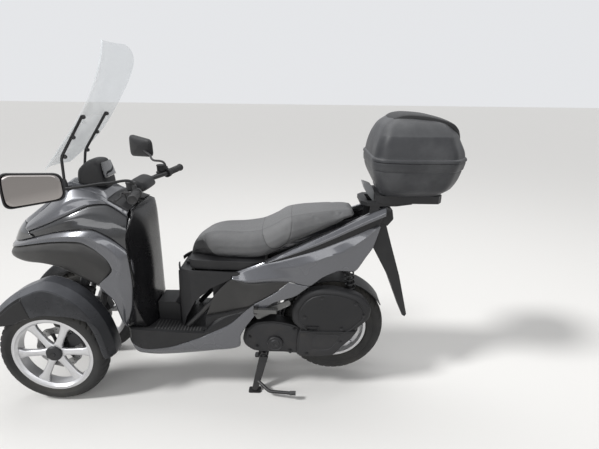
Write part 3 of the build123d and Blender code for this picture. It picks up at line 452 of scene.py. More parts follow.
def tube(points, radius, sides=16, straight=False):
    # a round section carried along a line; its frame is turned as little as possible from point to point
    line = np.asarray(points, float) if straight else flow(points, 12 * len(points))
    ahead = np.gradient(line, axis=0)
    ahead /= np.linalg.norm(ahead, axis=1)[:, None]
    side = np.cross(ahead[0], [0.3, 0.2, 0.93])
    frames = []
    for step in ahead:
        side = side - step * (side @ step)
        side /= np.linalg.norm(side)
        frames.append(side)
    side = np.array(frames)[:, None]
    up = np.cross(ahead, side[:, 0])[:, None]
    angle = np.linspace(0, 2 * np.pi, sides, endpoint=False)[None, :, None]
    size = np.broadcast_to(np.asarray(radius, float), (len(line),))[:, None, None]
    return line[:, None] + size * (side * np.cos(angle) + up * np.sin(angle))


# Materials for the CAD nodes
nodeFinishes = [
    (graphite, "nose_panel brow side_panels"),
    (darkGloss, "front_cowl"),
    (lensDark, "headlamp"),
    (redLens, "tail_lamp"),
    (satinGrey, "arch_panel side_insets"),
    (glossBlack, "leg_shield"),
    (blackPlastic, "floorboard seat_base rear_mudguard airbox carrier controls mirrors instrument "
                   "front_mudguard_left front_mudguard_right"),
    (boxPlastic, "box_base box_lid"),
    (seatCover, "seat"),
    (screenClear, "windscreen"),
    (gripRubber, "grips"),
    (castDark, "engine transmission_case swing_arm lean_linkage fork_left fork_right"),
    (castGrey, "footpeg_left footpeg_right"),
    (blackSteel, "exhaust rear_shocks centre_stand handlebar screen_stays frame seat_rails"),
    (tyreRubber, "front_tyre_left front_tyre_right rear_tyre"),
    (silverRim, "front_rim_left front_rim_right rear_rim")]
for finish, names in nodeFinishes:
    for name in names.split():
        nodes[name].data.materials.clear()
        nodes[name].data.materials.append(finish)
print("CAD nodes finished")

# Wheels: each tyre's radius, width and bead, each rim's bead and width, and where they stand
wheels = {
    "tyres": [("frontTyreLeft", "front_wheel_left", "front_tyre_left", (0, -192.5, 250), 250, 90, 178),
              ("frontTyreRight", "front_wheel_right", "front_tyre_right", (0, 192.5, 250), 250, 90, 178),
              ("rearTyre", "rear_wheel", "rear_tyre", (1310, 0, 306), 251, 110, 153)],
    "rims": [("frontRimLeft", "front_wheel_left", "front_rim_left", (0, -192.5, 250), 178, 90, 1),
             ("frontRimRight", "front_wheel_right", "front_rim_right", (0, 192.5, 250), 178, 90, -1),
             ("rearRim", "rear_wheel", "rear_rim", (1310, 0, 306), 153, 110, 1)],
    "grooveDepth": 4.5, "grooveCount": 44, "steps": 528}


def tyreGrid(centre, radius, width, bead):
    # the section is a closed loop of (y, radius); the crown's radius drops in slanted grooves that
    # start near the middle line and sweep back towards both shoulders
    half = width / 2
    crown = np.linspace(-1, 1, 49)
    rise = 0.36 * width
    crownY = half * 0.995 * np.sin(crown * np.pi / 2 * 0.985)
    crownR = radius - rise * (1 - np.sqrt(np.clip(1 - (crownY / half) ** 2, 0, 1)))
    foot = 0.36 * width
    side = [(0.985, rise + 7), (0.95, rise + 13), (0.93, rise + 14), (0.90, radius - bead - 16)]
    right = [(half * k, radius - drop) for k, drop in side] + [(foot, bead + 6), (foot - 4, bead + 1)]
    inner = [(k * (foot - 8), bead + 3) for k in (1, 0.33, -0.33, -1)]
    loop = np.array([*zip(crownY, crownR), *right, *inner, *[(-y, r) for y, r in reversed(right)]])
    grid = turned(loop, (0, 0, 0), wheels["steps"])
    angle = np.linspace(0, 2 * np.pi, wheels["steps"], endpoint=False)[:, None]
    across = np.abs(crownY / half)[None, :]
    phase = (angle * wheels["grooveCount"] / (2 * np.pi) + 0.9 * across ** 1.2
             + 0.5 * (crownY > 0)[None, :]) % 1.0
    cut = np.clip((0.17 - np.abs(phase - 0.5)) / 0.06, 0, 1) * np.clip((across - 0.12) / 0.05, 0, 1)
    cut = cut * np.clip((0.90 - across) / 0.06, 0, 1)
    middle = np.clip((0.035 - np.abs(across)) / 0.02, 0, 1) * 0.8
    drop = wheels["grooveDepth"] * np.maximum(cut, middle)
    shrink = 1 - drop / crownR[None, :]
    grid[:, :len(crown), 0] *= shrink
    grid[:, :len(crown), 2] *= shrink
    return grid + np.array(centre)


for name, body, node, centre, radius, width, bead in wheels["tyres"]:
    makePiece(name, tyreGrid(centre, radius, width, bead), body, tyreRubber, form="ring", sharpAngle=40,
              replaces=node)


def rimGrid(centre, bead, width):
    # a barrel with rolled lips
    half = 0.36 * width
    lip = bead + 14
    barrel = [(-half - 3, lip), (-half - 1.5, lip + 1.5), (-half, lip), (-half, bead), (half, bead),
              (half, lip), (half + 1.5, lip + 1.5), (half + 3, lip), (half + 3, bead - 3),
              (half - 4, bead - 8), (0.27 * width, bead - 13), (-0.27 * width, bead - 13),
              (-half + 4, bead - 8), (-half - 3, bead - 3)]
    return turned(barrel, centre, 144)


def spokeGrids(centre, bead, out, count=6, first=3, sides=20, rows=14):
    # the section is a rounded bar, with a ridge on its outer face, that leans out and widens to the rim
    around = np.linspace(0, 2 * np.pi, sides, endpoint=False)
    run = np.linspace(24, bead - 9, rows)[:, None]
    share = (run - run[0]) / (run[-1] - run[0])
    wide = ease([0, 0.3, 0.75, 1], [25, 16, 18, 30], share)
    deep = ease([0, 0.5, 1], [11, 9.5, 10.5], share)
    lean = ease([0, 1], [4, 9], share)
    shapeX, shapeY = (np.sign(w) * np.sqrt(np.abs(w)) for w in (np.cos(around), np.sin(around)))
    ridge = np.clip(1 - np.abs(shapeX + 0.25) / 0.9, 0, 1) * (out * -shapeY > 0.3)
    y = deep * shapeY - out * (lean + 4.0 * ridge)
    return [wheelBar(centre, np.radians(first + 360 / count * k), run, wide * shapeX, y)
            for k in range(count)]


hub = [(-30, 0.01), (-30, 24), (-27, 29), (4, 37), (24, 37), (29, 33), (31, 24), (31, 12), (29, 10),
       (29, 0.01)]
for name, body, node, centre, bead, width, out in wheels["rims"]:
    makePiece(name, rimGrid(centre, bead, width), body, silverRim, form="ring", outFrom=centre,
              sharpAngle=35, replaces=node)
    makePiece(name + "Spokes", spokeGrids(centre, bead, out), body, silverRim, form="bar", sharpAngle=45)
    makePiece(name + "Hub", turned([(-out * y, r) for y, r in hub], centre, 48), body, castDark,
              form="turned", sharpAngle=35)
print("wheels made")

# Body panels. Each is a sheet between two side-view lines, as far out as its width rule says.
noseLine = ([640, 668, 690, 745, 770, 830, 858, 948, 1000, 1044],
            [-180, -196, -222, -206, -190, -150, -124, 0, 60, 118])
frontRows = ([350, 470, 600, 800, 850, 950, 1010, 1060], [150, 182, 203, 203, 190, 130, 96, 70])


def softMin(a, b, blend=6.0):
    # the smaller of two, rounded where they meet
    return -blend * np.logaddexp(-np.asarray(a) / blend, -np.asarray(b) / blend)


def frontWidth(s, z):
    # the nose is a half oval in plan that starts at the nose line, held in by the front view's outline
    behind = np.sqrt(np.clip(s - ease(*noseLine, z), 0, None))
    out = ease([0, 3.2, 9.6, 14.9, 18.9, 21.7], [0, 50, 122, 168, 194, 203], behind)
    return softMin(out, ease(*frontRows, z))


def rearWidth(s, z):
    return ease([650, 820, 1000, 1200, 1400, 1540], [134, 152, 178, 166, 128, 96], s)


def sillWidth(s, z):
    out = ease([334, 350, 420, 700, 934, 1000], [140, 160, 170, 172, 168, 178], s)
    return softMin(out, ease([200, 230, 270, 352, 440, 520], [146, 160, 171, 172, 170, 172], z), 2.0)


def sheet(part):
    # rows run from the upper line to the lower one; the profile moves each row in or out. A start profile,
    # where there is one, holds at the front end and gives way to the other behind it
    along = np.linspace(0, 1, part["cols"]) ** part.get("dense", 1.0)
    lines = []
    for line in ("upper", "lower"):
        fine = flow(part[line], 600, sharp=part.get("sharp", 0.3))
        lines.append(np.stack([np.interp(along, np.linspace(0, 1, 600), fine[:, k]) for k in (0, 1)], 1))
    share = 0.5 - 0.5 * np.cos(np.pi * np.linspace(0, 1, part["rows"]))
    side = lines[0] * (1 - share[:, None, None]) + lines[1] * share[:, None, None]
    s, z = side[..., 0], side[..., 1]
    late = np.interp(along, [0.25, 0.5], [0, 1])[None, :]
    y = part["width"](s, z) + np.interp(share, *part.get("start", part["profile"]))[:, None] * (1 - late)
    y += np.interp(share, *part["profile"])[:, None] * late
    grid = gridOf(s, -np.clip(y, 0, None), z)
    if part.get("meets"):
        # one more column closes the sheet on the middle line, at the very front of the nose
        tip = gridOf(ease(*noseLine, z[:, :1]) - 1, 0, z[:, :1])
        grid = np.concatenate([tip, grid], 1)
    return grid


browLow = [(-222, 712), (-200, 722), (-100, 754), (40, 786), (130, 797), (196, 796), (253, 765), (303, 712),
           (316, 673), (247, 596), (300, 517), (310, 440), (322, 372), (332, 362)]
browTop = [(-205, 745), (-120, 768), (-40, 796), (52, 824), (140, 842), (245, 848), (338, 802), (396, 746)]
noseTop = [(-94, 846), (0, 920), (60, 972), (120, 1012), (262, 988), (300, 969), (396, 925)]
noseLow = [(-70, 818), (0, 846), (60, 872), (130, 905), (225, 944), (300, 950), (396, 905)]
grooveLow = [(985, 703), (1060, 722), (1215, 767), (1330, 806), (1455, 852), (1490, 862)]
panels = {
    "brow": {"node": "brow", "finish": graphite, "width": frontWidth, "cols": 130,
             "rows": 22, "dense": 1.4, "sharp": 0.25,
             "upper": [*browTop, (402, 600), (380, 470), (332, 362)], "lower": browLow,
             "profile": ([0, 0.02, 0.10, 0.50, 0.56, 0.93, 0.98, 1], [-24, -17, -11, 1.5, -2, -1, -3, -8])},
    "archPanel": {"node": "arch_panel", "finish": satinGrey, "width": frontWidth,
                  "cols": 90, "rows": 18, "dense": 1.4,
                  "upper": [(-219, 713), *browLow[1:9]],
                  "lower": [(-196, 669), (-100, 675), (-12, 683), (60, 676), (160, 636), (230, 604),
                            (247, 596)],
                  "profile": ([0, 0.03, 0.10, 0.34, 0.42, 0.8, 0.96, 1], [-20, -13, -8, 2, 1.5, -2, -4, -9])},
    "cowlSide": {"node": "front_cowl", "finish": darkGloss, "width": frontWidth,
                 "cols": 90, "rows": 24, "sharp": 0.3,
                 "upper": noseLow, "lower": [(-40, 796), *browTop[3:]],
                 "profile": ([0, 0.05, 0.3, 0.6, 0.94, 1], [-12, -7, -4, -10, -14, -26])},
    "noseFlank": {"finish": graphite, "width": frontWidth,
                  "cols": 90, "rows": 20, "sharp": 0.3, "upper": noseTop, "lower": noseLow,
                  "profile": ([0, 0.05, 0.50, 0.54, 0.92, 1], [-16, -10, 6, 5, -3, -12])},
    "headlampLens": {"node": "headlamp", "finish": lensDark, "width": frontWidth,
                     "cols": 40, "rows": 16, "dense": 1.5, "sharp": 0.3, "meets": True,
                     "upper": [(-129, 847), (-112, 848), (-94, 846), (-70, 818)],
                     "lower": [(-204, 747), (-120, 768), (-40, 796)],
                     "profile": ([0, 0.1, 0.5, 0.9, 1], [-6, -3, -1, -9, -20])},
    "sideLower": {"node": "side_panels", "finish": graphite, "width": rearWidth,
                  "cols": 120, "rows": 26, "sharp": 0.35,
                  "start": ([0, 0.05, 0.12, 0.80, 0.88, 1], [-21, -16, -13, 4, 2, -6]),
                  "upper": [(834, 637), *grooveLow],
                  "lower": [(834, 612), (900, 600), (1000, 611), (1092, 612), (1186, 588), (1245, 628),
                            (1318, 655), (1393, 648), (1440, 712), (1469, 755), (1500, 857)],
                  "profile": ([0, 0.03, 0.08, 0.36, 0.41, 0.96, 1], [-22, -16, -12, 2, -1, -2, -7])},
    "sideLimb": {"finish": graphite, "width": rearWidth, "cols": 50, "rows": 12,
                 "upper": [(1092, 612), (1040, 566), (979, 526), (934, 499)],
                 "lower": [(1186, 588), (1126, 543), (1020, 506), (939, 440)],
                 "profile": ([0, 0.04, 0.5, 0.96, 1], [-4, -1, 0, -1, -5])},
    "sideUpper": {"finish": graphite, "width": rearWidth, "cols": 100, "rows": 14,
                  "upper": [(985, 707), (1100, 762), (1200, 808), (1300, 851), (1400, 895), (1523, 949)],
                  "lower": [(987, 705), (1060, 729), (1215, 785), (1330, 831), (1455, 880), (1519, 903)],
                  "profile": ([0, 0.03, 0.08, 0.55, 0.62, 0.95, 1], [-34, -18, -13, -1, 0.5, 0, -6])},
    "sideGroove": {"finish": glossBlack, "width": rearWidth, "cols": 60, "rows": 5,
                   "upper": [(985, 712), (1060, 734), (1215, 790), (1330, 836), (1455, 885), (1514, 905)],
                   "lower": [(985, 698), (1060, 716), (1215, 760), (1330, 800), (1455, 846), (1496, 858)],
                   "profile": ([0, 1], [-13, -13])},
    "sideInset": {"node": "side_insets", "finish": satinGrey, "width": rearWidth,
                  "cols": 70, "rows": 16, "sharp": 0.45,
                  "upper": [(745, 523), (834, 612), (900, 599), (1000, 610), (1060, 617), (1092, 611)],
                  "lower": [(704, 414), (795, 438), (905, 476), (979, 526), (1040, 566), (1092, 611)],
                  "profile": ([0, 0.06, 0.5, 0.94, 1], [-9, -5, -2.5, -4, -8])},
    "sill": {"finish": graphite, "width": sillWidth, "cols": 110, "rows": 14, "sharp": 0.35,
             "upper": [(334, 300), (350, 276), (407, 250), (525, 264), (672, 318), (818, 392), (900, 470),
                       (934, 499)],
             "lower": [(338, 296), (376, 227), (447, 211), (630, 227), (738, 243), (864, 274), (866, 323),
                       (939, 440)],
             "profile": ([0, 0.05, 0.25, 0.3, 0.94, 1], [-5, -1, 0, 0.8, 0, -6])},
    "floorEdge": {"finish": glossBlack, "width": sillWidth, "cols": 90, "rows": 12, "sharp": 0.35,
                  "upper": [(334, 352), (456, 352), (560, 345), (690, 343), (740, 400), (795, 438),
                            (905, 476), (934, 501)],
                  "lower": [(334, 300), (350, 276), (407, 250), (525, 264), (672, 318), (818, 392),
                            (900, 470), (934, 499)],
                  "profile": ([0, 0.1, 0.3, 0.7, 1], [-26, -16, -8, -3, -1])},
}
for name, part in panels.items():
    makePiece(name, sheet(part), "chassis", part["finish"], outFrom=(400, 0, 560), mirrored=True,
              sharpAngle=32, thick=3.0, replaces=part.get("node"))
print("side panels made")

# Nose panel: it rises from the cowl's edge over a crease to the middle line
noseCrown = {"edge": [(-128, 846), (-94, 846), (0, 920), (60, 972), (120, 1012), (200, 1001), (262, 988),
                      (300, 969)],
             "middle": [(-128, 850), (-112, 866), (0, 948), (60, 1000), (112, 1041), (190, 1032), (262, 1014),
                        (304, 974)], "cols": 70}
edge, middle = (flow(noseCrown[key], noseCrown["cols"], sharp=0.3) for key in ("edge", "middle"))
share = np.array([0, 0.03, 0.1, 0.25, 0.42, 0.5, 0.58, 0.75, 0.9, 1.0])[:, None]
out = frontWidth(edge[:, 0], edge[:, 1]) - 12
reach = np.interp(share, [0, 0.42, 0.5, 1], [1.0, 0.80, 0.72, 0.0])
rise = np.interp(share, [0, 0.03, 0.42, 0.5, 1], [0.0, 0.10, 0.62, 0.72, 1.0])
grid = gridOf(edge[:, 0] + (middle[:, 0] - edge[:, 0]) * share, -out * reach,
              edge[:, 1] + (middle[:, 1] - edge[:, 1]) * rise)
makePiece("nosePanelSkin", grid, "chassis", graphite, outFrom=(100, 0, 900), mirrored=True, thick=3.0,
          sharpAngle=28, replaces="nose_panel")

# Cowl top: a cover behind the nose panel, notched round the steering column
coverS = np.linspace(300, 396, 12)[:, None]
coverY = np.linspace(0, 1, 14)[None, :]
out = frontWidth(coverS, np.interp(coverS, [300, 396], [969, 925]))
notch = 34 * np.clip(1 - (coverY * out / 46) ** 4, 0, 1) * np.interp(coverS, [300, 396], [0, 1])
grid = gridOf(coverS - notch, -coverY * (out - 7),
              np.interp(coverS, [300, 396], [972, 928]) + 8 * (1 - coverY ** 2))
makePiece("cowlTop", grid, "chassis", blackPlastic, outFrom=(340, 0, 600), mirrored=True, thick=3.0)

# Leg shield: in plan it bulges to the rider, rounds over at the flange and runs forward to the brow
shieldRows = {"z": np.concatenate([[352, 356], np.linspace(366, 900, 40), [915, 925, 931]]),
              "middle": ([352, 415, 470, 640, 812, 912, 931], [456, 456, 449, 457, 452, 425, 400]),
              "half": ([352, 470, 600, 800, 900, 931], [139, 182, 203, 203, 150, 116]),
              "front": ([352, 365, 470, 600, 746, 931], [334, 335, 380, 402, 396, 392])}
z = shieldRows["z"][:, None]
half = ease(*shieldRows["half"], z) - 1
across = np.concatenate([np.linspace(0, 0.8, 11), [0.87, 0.93, 0.97, 1.0]])[None, :]
bulge = ease([0, 50, 100, 150, 192, 204], [457, 455, 440, 415, 394, 366], across * half)
front = ease(*shieldRows["front"], z)
s = np.maximum(softMin(bulge, ease(*shieldRows["middle"], z), 5.0), front + 1.0)
s = np.concatenate([s, s[:, -1:] * 0.7 + front * 0.3, front], 1)
grid = gridOf(s, -np.concatenate([across * half, half, half - 1], 1), z)
makePiece("legShieldSkin", grid, "chassis", glossBlack, outFrom=(300, 0, 640), mirrored=True, thick=3.0,
          sharpAngle=40, replaces="leg_shield")
print("nose and shield made")

# Front mudguards: sections round the wheel, with a top facet that falls to a ridge and an outer facet
guard = {"turn": np.linspace(147.3, 0.4, 90),
         "top": ([0.4, 18.3, 35.5, 52, 66.7, 84.9, 100, 128.7, 144.8, 147.3],
                 [39, 45, 61, 82, 103, 120.5, 97, 70.2, 65.8, 61.2]),
         "low": ([0.4, 17.6, 37.4, 53.9, 77.1, 90, 106.6, 124.6, 141.7, 147.3],
                 [8, 14.4, 30, 4.8, -26.3, -32, -39.3, -38.6, 4.9, 50]),
         "inner": ([0.4, 30, 60, 110, 147.3], [8, 16, 26, 20, 40]), "fall": 26.0, "beakStart": 103.0,
         "tread": 250.0}
angle = guard["turn"][:, None]
top = ease(*guard["top"], angle)
low = np.minimum(ease(*guard["low"], angle), top - 8)
inner = np.minimum(ease(*guard["inner"], angle), top - 6)
fall = guard["fall"] * np.interp(angle, [0.4, 8, 134, 147.3], [0.6, 1, 1, 0.35])
beak = np.interp(angle, [guard["beakStart"], guard["beakStart"] + 3], [0, 1])
edge = top - fall
# the section, as y and height over the tread: inner wall, flat top, ridge, sloped facet and outer wall, which
# rolls out ahead of beakStart
section = [(-141, inner), (-141, top - 6), (-143, top - 2), (-148, top), (-203.5, top), (-206.5, top - 0.6),
           (-226, top - 0.46 * fall), (-246 + 5 * beak, edge + 0.09 * fall - beak),
           (-247.5 + 8 * beak, edge - 1.5 - 3 * beak), (-248.6 + 8 * beak, edge - 4 - 4 * beak),
           (-248.8 + 3 * beak, edge - 7 - 2 * beak), (-249 + 0.5 * beak, edge - 11 - beak),
           (-249.6, edge - 19), (-249.6, 0.55 * (edge - 19) + 0.45 * low), (-249.4 + 1.5 * beak, low + 7),
           (-248.6 + 5 * beak, low + 1.5), (-246 + 8 * beak, low)]
y, out = (np.concatenate([value + 0 * angle for value in column], 1) for column in zip(*section))
out = out + guard["tread"]
grid = gridOf(out * np.cos(np.radians(angle)), y, 250 + out * np.sin(np.radians(angle)))
for side, hand in ((1, "left"), (-1, "right")):
    makePiece("mudguard" + hand.title(), grid * [1, side, 1], "fork_" + hand + "_body", guardSatin,
              outFrom=(0, side * -195, 300), thick=2.6, sharpAngle=14, replaces="front_mudguard_" + hand)
    # the rolled beak is gloss black: a thin skin over the front of the outer wall
    beakGrid = grid[guard["turn"] > guard["beakStart"] + 1][:, 7:] - [0, 0.8, 0]
    makePiece("mudguardBeak" + hand.title(), beakGrid * [1, side, 1], "fork_" + hand + "_body", glossBlack,
              outFrom=(0, side * -195, 300), thick=0.7, sharpAngle=20)
print("mudguards made")

# Seat: a stepped cushion on a flat base. The rough form is swelled by a cloth run, and gets its seams after.
seatForm = {"s": [628, 640, 655, 690, 742, 800, 860, 953, 1032, 1084, 1180, 1295, 1370, 1396],
            "top": [706, 744, 770, 797, 821, 828, 829, 839, 870, 900, 916, 922, 920, 912],
            "low": [684, 690, 692, 693, 694, 694, 695, 700, 734, 762, 806, 860, 896, 902],
            "half": [62, 70, 78, 100, 122, 136, 145, 153, 155, 151, 140, 122, 104, 92]}


def seatSection(s, sides=44):
    # a section is wide and flat below, tapers to the crown and is rounded at the shoulders
    top, low = ease(seatForm["s"], seatForm["top"], s), ease(seatForm["s"], seatForm["low"], s)
    half = ease(seatForm["s"], seatForm["half"], s)
    turn = np.linspace(0, 2 * np.pi, sides, endpoint=False)[None, :]
    c, n = np.cos(turn), np.sin(turn)
    across = np.sign(c) * np.abs(c) ** 0.62
    up = np.sign(n) * np.abs(n) ** 0.5
    taper = 1 - 0.17 * np.clip(up, 0, 1)
    middle = (top + low)[:, None] / 2
    height = (top - low)[:, None] / 2 - 5
    hollow = np.interp(s, [640, 800, 1000, 1100], [0, 1, 0.4, 0])[:, None]
    dish = 7 * (1 - across ** 2) * np.clip(up, 0, 1) * hollow
    return gridOf(s[:, None], (half[:, None] - 5) * across * taper, middle + height * up - dish)


seatS = np.concatenate([[630, 632, 636], np.linspace(643, 1385, 92), [1390, 1393, 1395]])
grid = seatSection(seatS)
for row, share in ((0, 0.55), (1, 0.80), (2, 0.93), (-1, 0.55), (-2, 0.80), (-3, 0.93)):
    grid[row] = grid[row].mean(0) + (grid[row] - grid[row].mean(0)) * share
seat = makePiece("seatCushion", grid, "seat_body", seatCover, form="bar", sharpAngle=60, replaces="seat")


def applyAll(piece):
    graph = bpy.context.evaluated_depsgraph_get()
    mesh = bpy.data.meshes.new_from_object(piece.evaluated_get(graph))
    old = piece.data
    piece.modifiers.clear()
    piece.data = mesh
    bpy.data.meshes.remove(old)


def settle(piece, voxel, pressure, cap, frames=20):
    # the cushion swells from a remeshed copy; no point may move further than the cap
    remesh = piece.modifiers.new("remesh", "REMESH")
    remesh.mode, remesh.voxel_size = "VOXEL", voxel
    applyAll(piece)
    rest = np.array([v.co[:] for v in piece.data.vertices])
    cloth = piece.modifiers.new("cloth", "CLOTH")
    setting = cloth.settings
    setting.use_pressure, setting.uniform_pressure_force = True, pressure
    setting.effector_weights.gravity = 0.0
    setting.quality, setting.mass = 4, 0.3
    setting.tension_stiffness = setting.compression_stiffness = 25
    setting.bending_stiffness = 2.0
    cloth.point_cache.frame_end = frames
    for frameNumber in range(1, frames + 1):
        bpy.context.scene.frame_set(frameNumber)
    applyAll(piece)
    now = np.array([v.co[:] for v in piece.data.vertices])
    move = now - rest
    size = np.linalg.norm(move, axis=1)[:, None]
    move *= np.minimum(1, cap / np.maximum(size, 1e-9))
    piece.data.vertices.foreach_set("co", (rest + move).ravel())
    bpy.context.scene.frame_set(1)


settle(seat, voxel=0.006, pressure=4.0, cap=0.007)
work = bmesh.new()
work.from_mesh(seat.data)
bmesh.ops.subdivide_edges(work, edges=work.edges, cuts=1, use_grid_fill=True, smooth=0.6)
work.to_mesh(seat.data)
work.free()
# the seams sink in: each point near one moves inwards along its normal
seams = {"depth": 2.4, "width": 3.2}
spots, normals = np.empty((2, len(seat.data.vertices) * 3))
seat.data.vertices.foreach_get("co", spots)
seat.data.vertices.foreach_get("normal", normals)
s, y, z = spots.reshape(-1, 3).T * 1000 - np.array([[frontAxle], [0], [0]])
top, low = (ease(seatForm["s"], seatForm[key], s) for key in ("top", "low"))
height = (z - low) / np.maximum(top - low, 1)
near = np.min([np.where(height > 0.55, abs(panelEdge(s, y)), 99),
               np.where(height < 0.8, abs(rollEdge(s, z)), 99),
               np.where(abs(y) > 40, abs(noseSeam(s, z)), 99)], 0)
sink = np.where(height > 0.1, seams["depth"] * np.exp(-(near / seams["width"]) ** 2), 0) / 1000
seat.data.vertices.foreach_set("co", spots - normals * np.repeat(sink, 3))
seat.data.materials.clear()
seat.data.materials.append(seatCover)
seat.data.shade_smooth()

# Seat pan under the cushion, and the raised rim of the base that it closes on
panForm = {"s": [634, 640, 700, 834, 940, 985], "half": [58, 112, 128, 138, 140, 140],
           "low": 651.0, "high": 699.0}
s = np.linspace(634, 982, 60)[:, None]
half = ease(panForm["s"], panForm["half"], s)
across = np.array([-1, -0.97, 0.97, 1, 1.02, 0.9, -0.9, -1.02])
up = np.array([0, -1, -1, 0, 0.9, 1, 1, 0.9])
middle, deep = (panForm["low"] + panForm["high"]) / 2, (panForm["high"] - panForm["low"]) / 2
grid = gridOf(s, half * across, middle + deep * up)
makePiece("seatPan", grid, "seat_body", blackPlastic, form="bar", bevel=1.5, sharpAngle=30)
baseRim = {"plan": [(566, 40), (572, 66), (590, 105), (640, 134), (740, 143), (834, 150), (870, 152)],
           "low": 630.0, "high": 647.0, "wide": 9.0}
line = flow(baseRim["plan"], 70, sharp=0.3)
rows = [(0, 0), (0.0, 0.75), (0.6, 0.95), (2.0, 1.0), (baseRim["wide"] - 1, 1.0), (baseRim["wide"], 0.9),
        (baseRim["wide"], 0.0)]
inset, rise = np.array(rows).T[..., None]
grid = gridOf(line[:, 0] + 0.5 * inset, inset - line[:, 1],
              baseRim["low"] + (baseRim["high"] - baseRim["low"]) * rise)
makePiece("seatBaseRim", grid, "chassis", blackPlastic, outFrom=(720, 0, 600), mirrored=True, sharpAngle=40)
print("seat made")


# Top box: by level, an oblong whose front, rear and half width change with height, with cut corners
boxForm = {
    "corners": [(0, 0.70), (0.07, 0.90), (0.34, 1.0), (0.84, 0.94), (1.0, 0.58)], "round": 20.0,
    "lid": {"z": np.concatenate([[1158.6, 1160, 1163, 1168, 1171.5, 1173, 1174], np.linspace(1176, 1256, 16),
                                 [1260, 1262, 1264, 1267], np.linspace(1272, 1330, 18),
                                 [1334, 1338, 1341, 1343.5]]),
            "front": ([1158, 1180, 1290, 1330, 1345], [1434, 1436, 1471, 1518, 1566]),
            "rear": ([1158, 1175, 1240, 1308, 1345], [1836, 1836, 1811, 1768, 1640]),
            "half": ([1158, 1175, 1260, 1264, 1330, 1345], [215, 214, 196, 193, 124, 92]),
            "in": ([1158, 1159.5, 1164, 1169, 1172, 1174, 1178, 1345], [2.5, 0.5, 0, 0.8, 3, 7, 8, 8])},
    "base": {"z": np.concatenate([[1000.5, 1001, 1003, 1007, 1013], np.linspace(1020, 1112, 14),
                                  [1117, 1119, 1121, 1123, 1126, 1140, 1150, 1154, 1156.5, 1158]]),
             "front": ([1000, 1030, 1120, 1158], [1490, 1474, 1436, 1434]),
             "rear": ([1000, 1030, 1100, 1158], [1748, 1790, 1824, 1836]),
             "half": ([1000, 1040, 1150, 1158], [124, 184, 213, 215]),
             "in": ([1000, 1001, 1006, 1014, 1020, 1116, 1119, 1122, 1126, 1150, 1156, 1158],
                    [9, 3, 0, 1, 5, 5, 6.5, 3, 2, 2, 3.5, 7])}}


def boxGrid(form):
    # the cut-cornered outline is stretched at each level to that level's front, rear and half width
    z = form["z"][:, None]
    front, rear, half = (ease(*form[key], z) for key in ("front", "rear", "half"))
    inset = np.interp(z, *form["in"])
    unit = np.array(boxForm["corners"] + [(u, -v) for u, v in reversed(boxForm["corners"])])
    u, v = unit[:, 0][None, :], unit[:, 1][None, :]
    points = np.stack([front + inset + (rear - front - 2 * inset) * u, (half - inset) * v], -1)
    loop = cornered(points, boxForm["round"])
    return gridOf(loop[..., 0], loop[..., 1], z)


lidGrid, baseGrid = boxGrid(boxForm["lid"]), boxGrid(boxForm["base"])
makePiece("boxLidShell", lidGrid, "lid", boxPlastic, outFrom=(1636, 0, 1150), form="tube", thick=3.5,
          sharpAngle=14, replaces="box_lid")
crown = closing(lidGrid[-1], (1606, 0, 1343.5), (0, 0.2, 0.5, 0.8, 1))
makePiece("boxLidCrown", crown, "lid", boxPlastic, outFrom=(1606, 0, 1200), form="tube", thick=3.5)
makePiece("boxBaseShell", baseGrid, "chassis", boxPlastic, outFrom=(1636, 0, 1100), form="tube", thick=3.5,
          sharpAngle=24, replaces="box_base")
foot = closing(baseGrid[0], (1620, 0, 1000.5), (0, 0.3, 1))
makePiece("boxBaseFoot", foot, "chassis", boxPlastic, outFrom=(1620, 0, 1100), form="tube", thick=3.5)
# a raised panel over the middle of the lid: it follows the lid's top line, 5 mm proud, with stepped edges
lidPanel = {"s": [1508, 1524, 1548, 1580, 1640, 1700, 1760, 1790, 1806],
            "z": [1318, 1334, 1345, 1349, 1346, 1335, 1316, 1291, 1262],
            "half": [96, 104, 112, 118, 122, 124, 120, 106, 88]}
s = np.concatenate([[1508, 1510, 1514], np.linspace(1520, 1800, 48), [1803, 1805, 1806]])[:, None]
out = np.array([0, 0.25, 0.5, 0.75, 0.93, 0.965, 0.99, 1, 1])
step = np.array([0, 0, 0, 0, 0, 0.8, 3, 12, 24])
out, step = np.concatenate([-out[:0:-1], out]), np.concatenate([step[:0:-1], step])
half, top = ease(lidPanel["s"], lidPanel["half"], s), ease(lidPanel["s"], lidPanel["z"], s)
endStep = np.interp(s, [1508, 1510, 1514, 1520, 1800, 1803, 1805, 1806], [14, 5, 1.5, 0, 0, 1.5, 5, 14])
grid = gridOf(s, half * out, top - step - endStep - 7 * out ** 2)
makePiece("boxLidPanel", grid, "lid", blackPlastic, outFrom=(1640, 0, 1200), thick=2.5, sharpAngle=24)
# latch blocks at the front corners of the seam
ring = cornered([(1438, -112), (1456, -150), (1470, -146), (1462, -108)], 5, 5, 1)
grid = scaledRings(ring, [(0.94, 1127), (1, 1129), (1, 1152), (0.96, 1155)])[..., [0, 2, 1]]
makePiece("boxLatches", grid, "chassis", blackPlastic, mirrored=True, form="bar", sharpAngle=30)
# a pale tongue under the box's front, down to the carrier
ring = cornered([(1417, 1042), (1458, 1028), (1479, 982), (1550, 939), (1519, 931), (1473, 950),
                 (1433, 1000)], 7, 5, 3)
grid = scaledRings(ring, [(0.95, -36), (1, -34), (1, 34), (0.95, 36)], (1470, 985))
makePiece("boxTongue", grid, "chassis", railGrey, form="bar", sharpAngle=30)
print("box made")

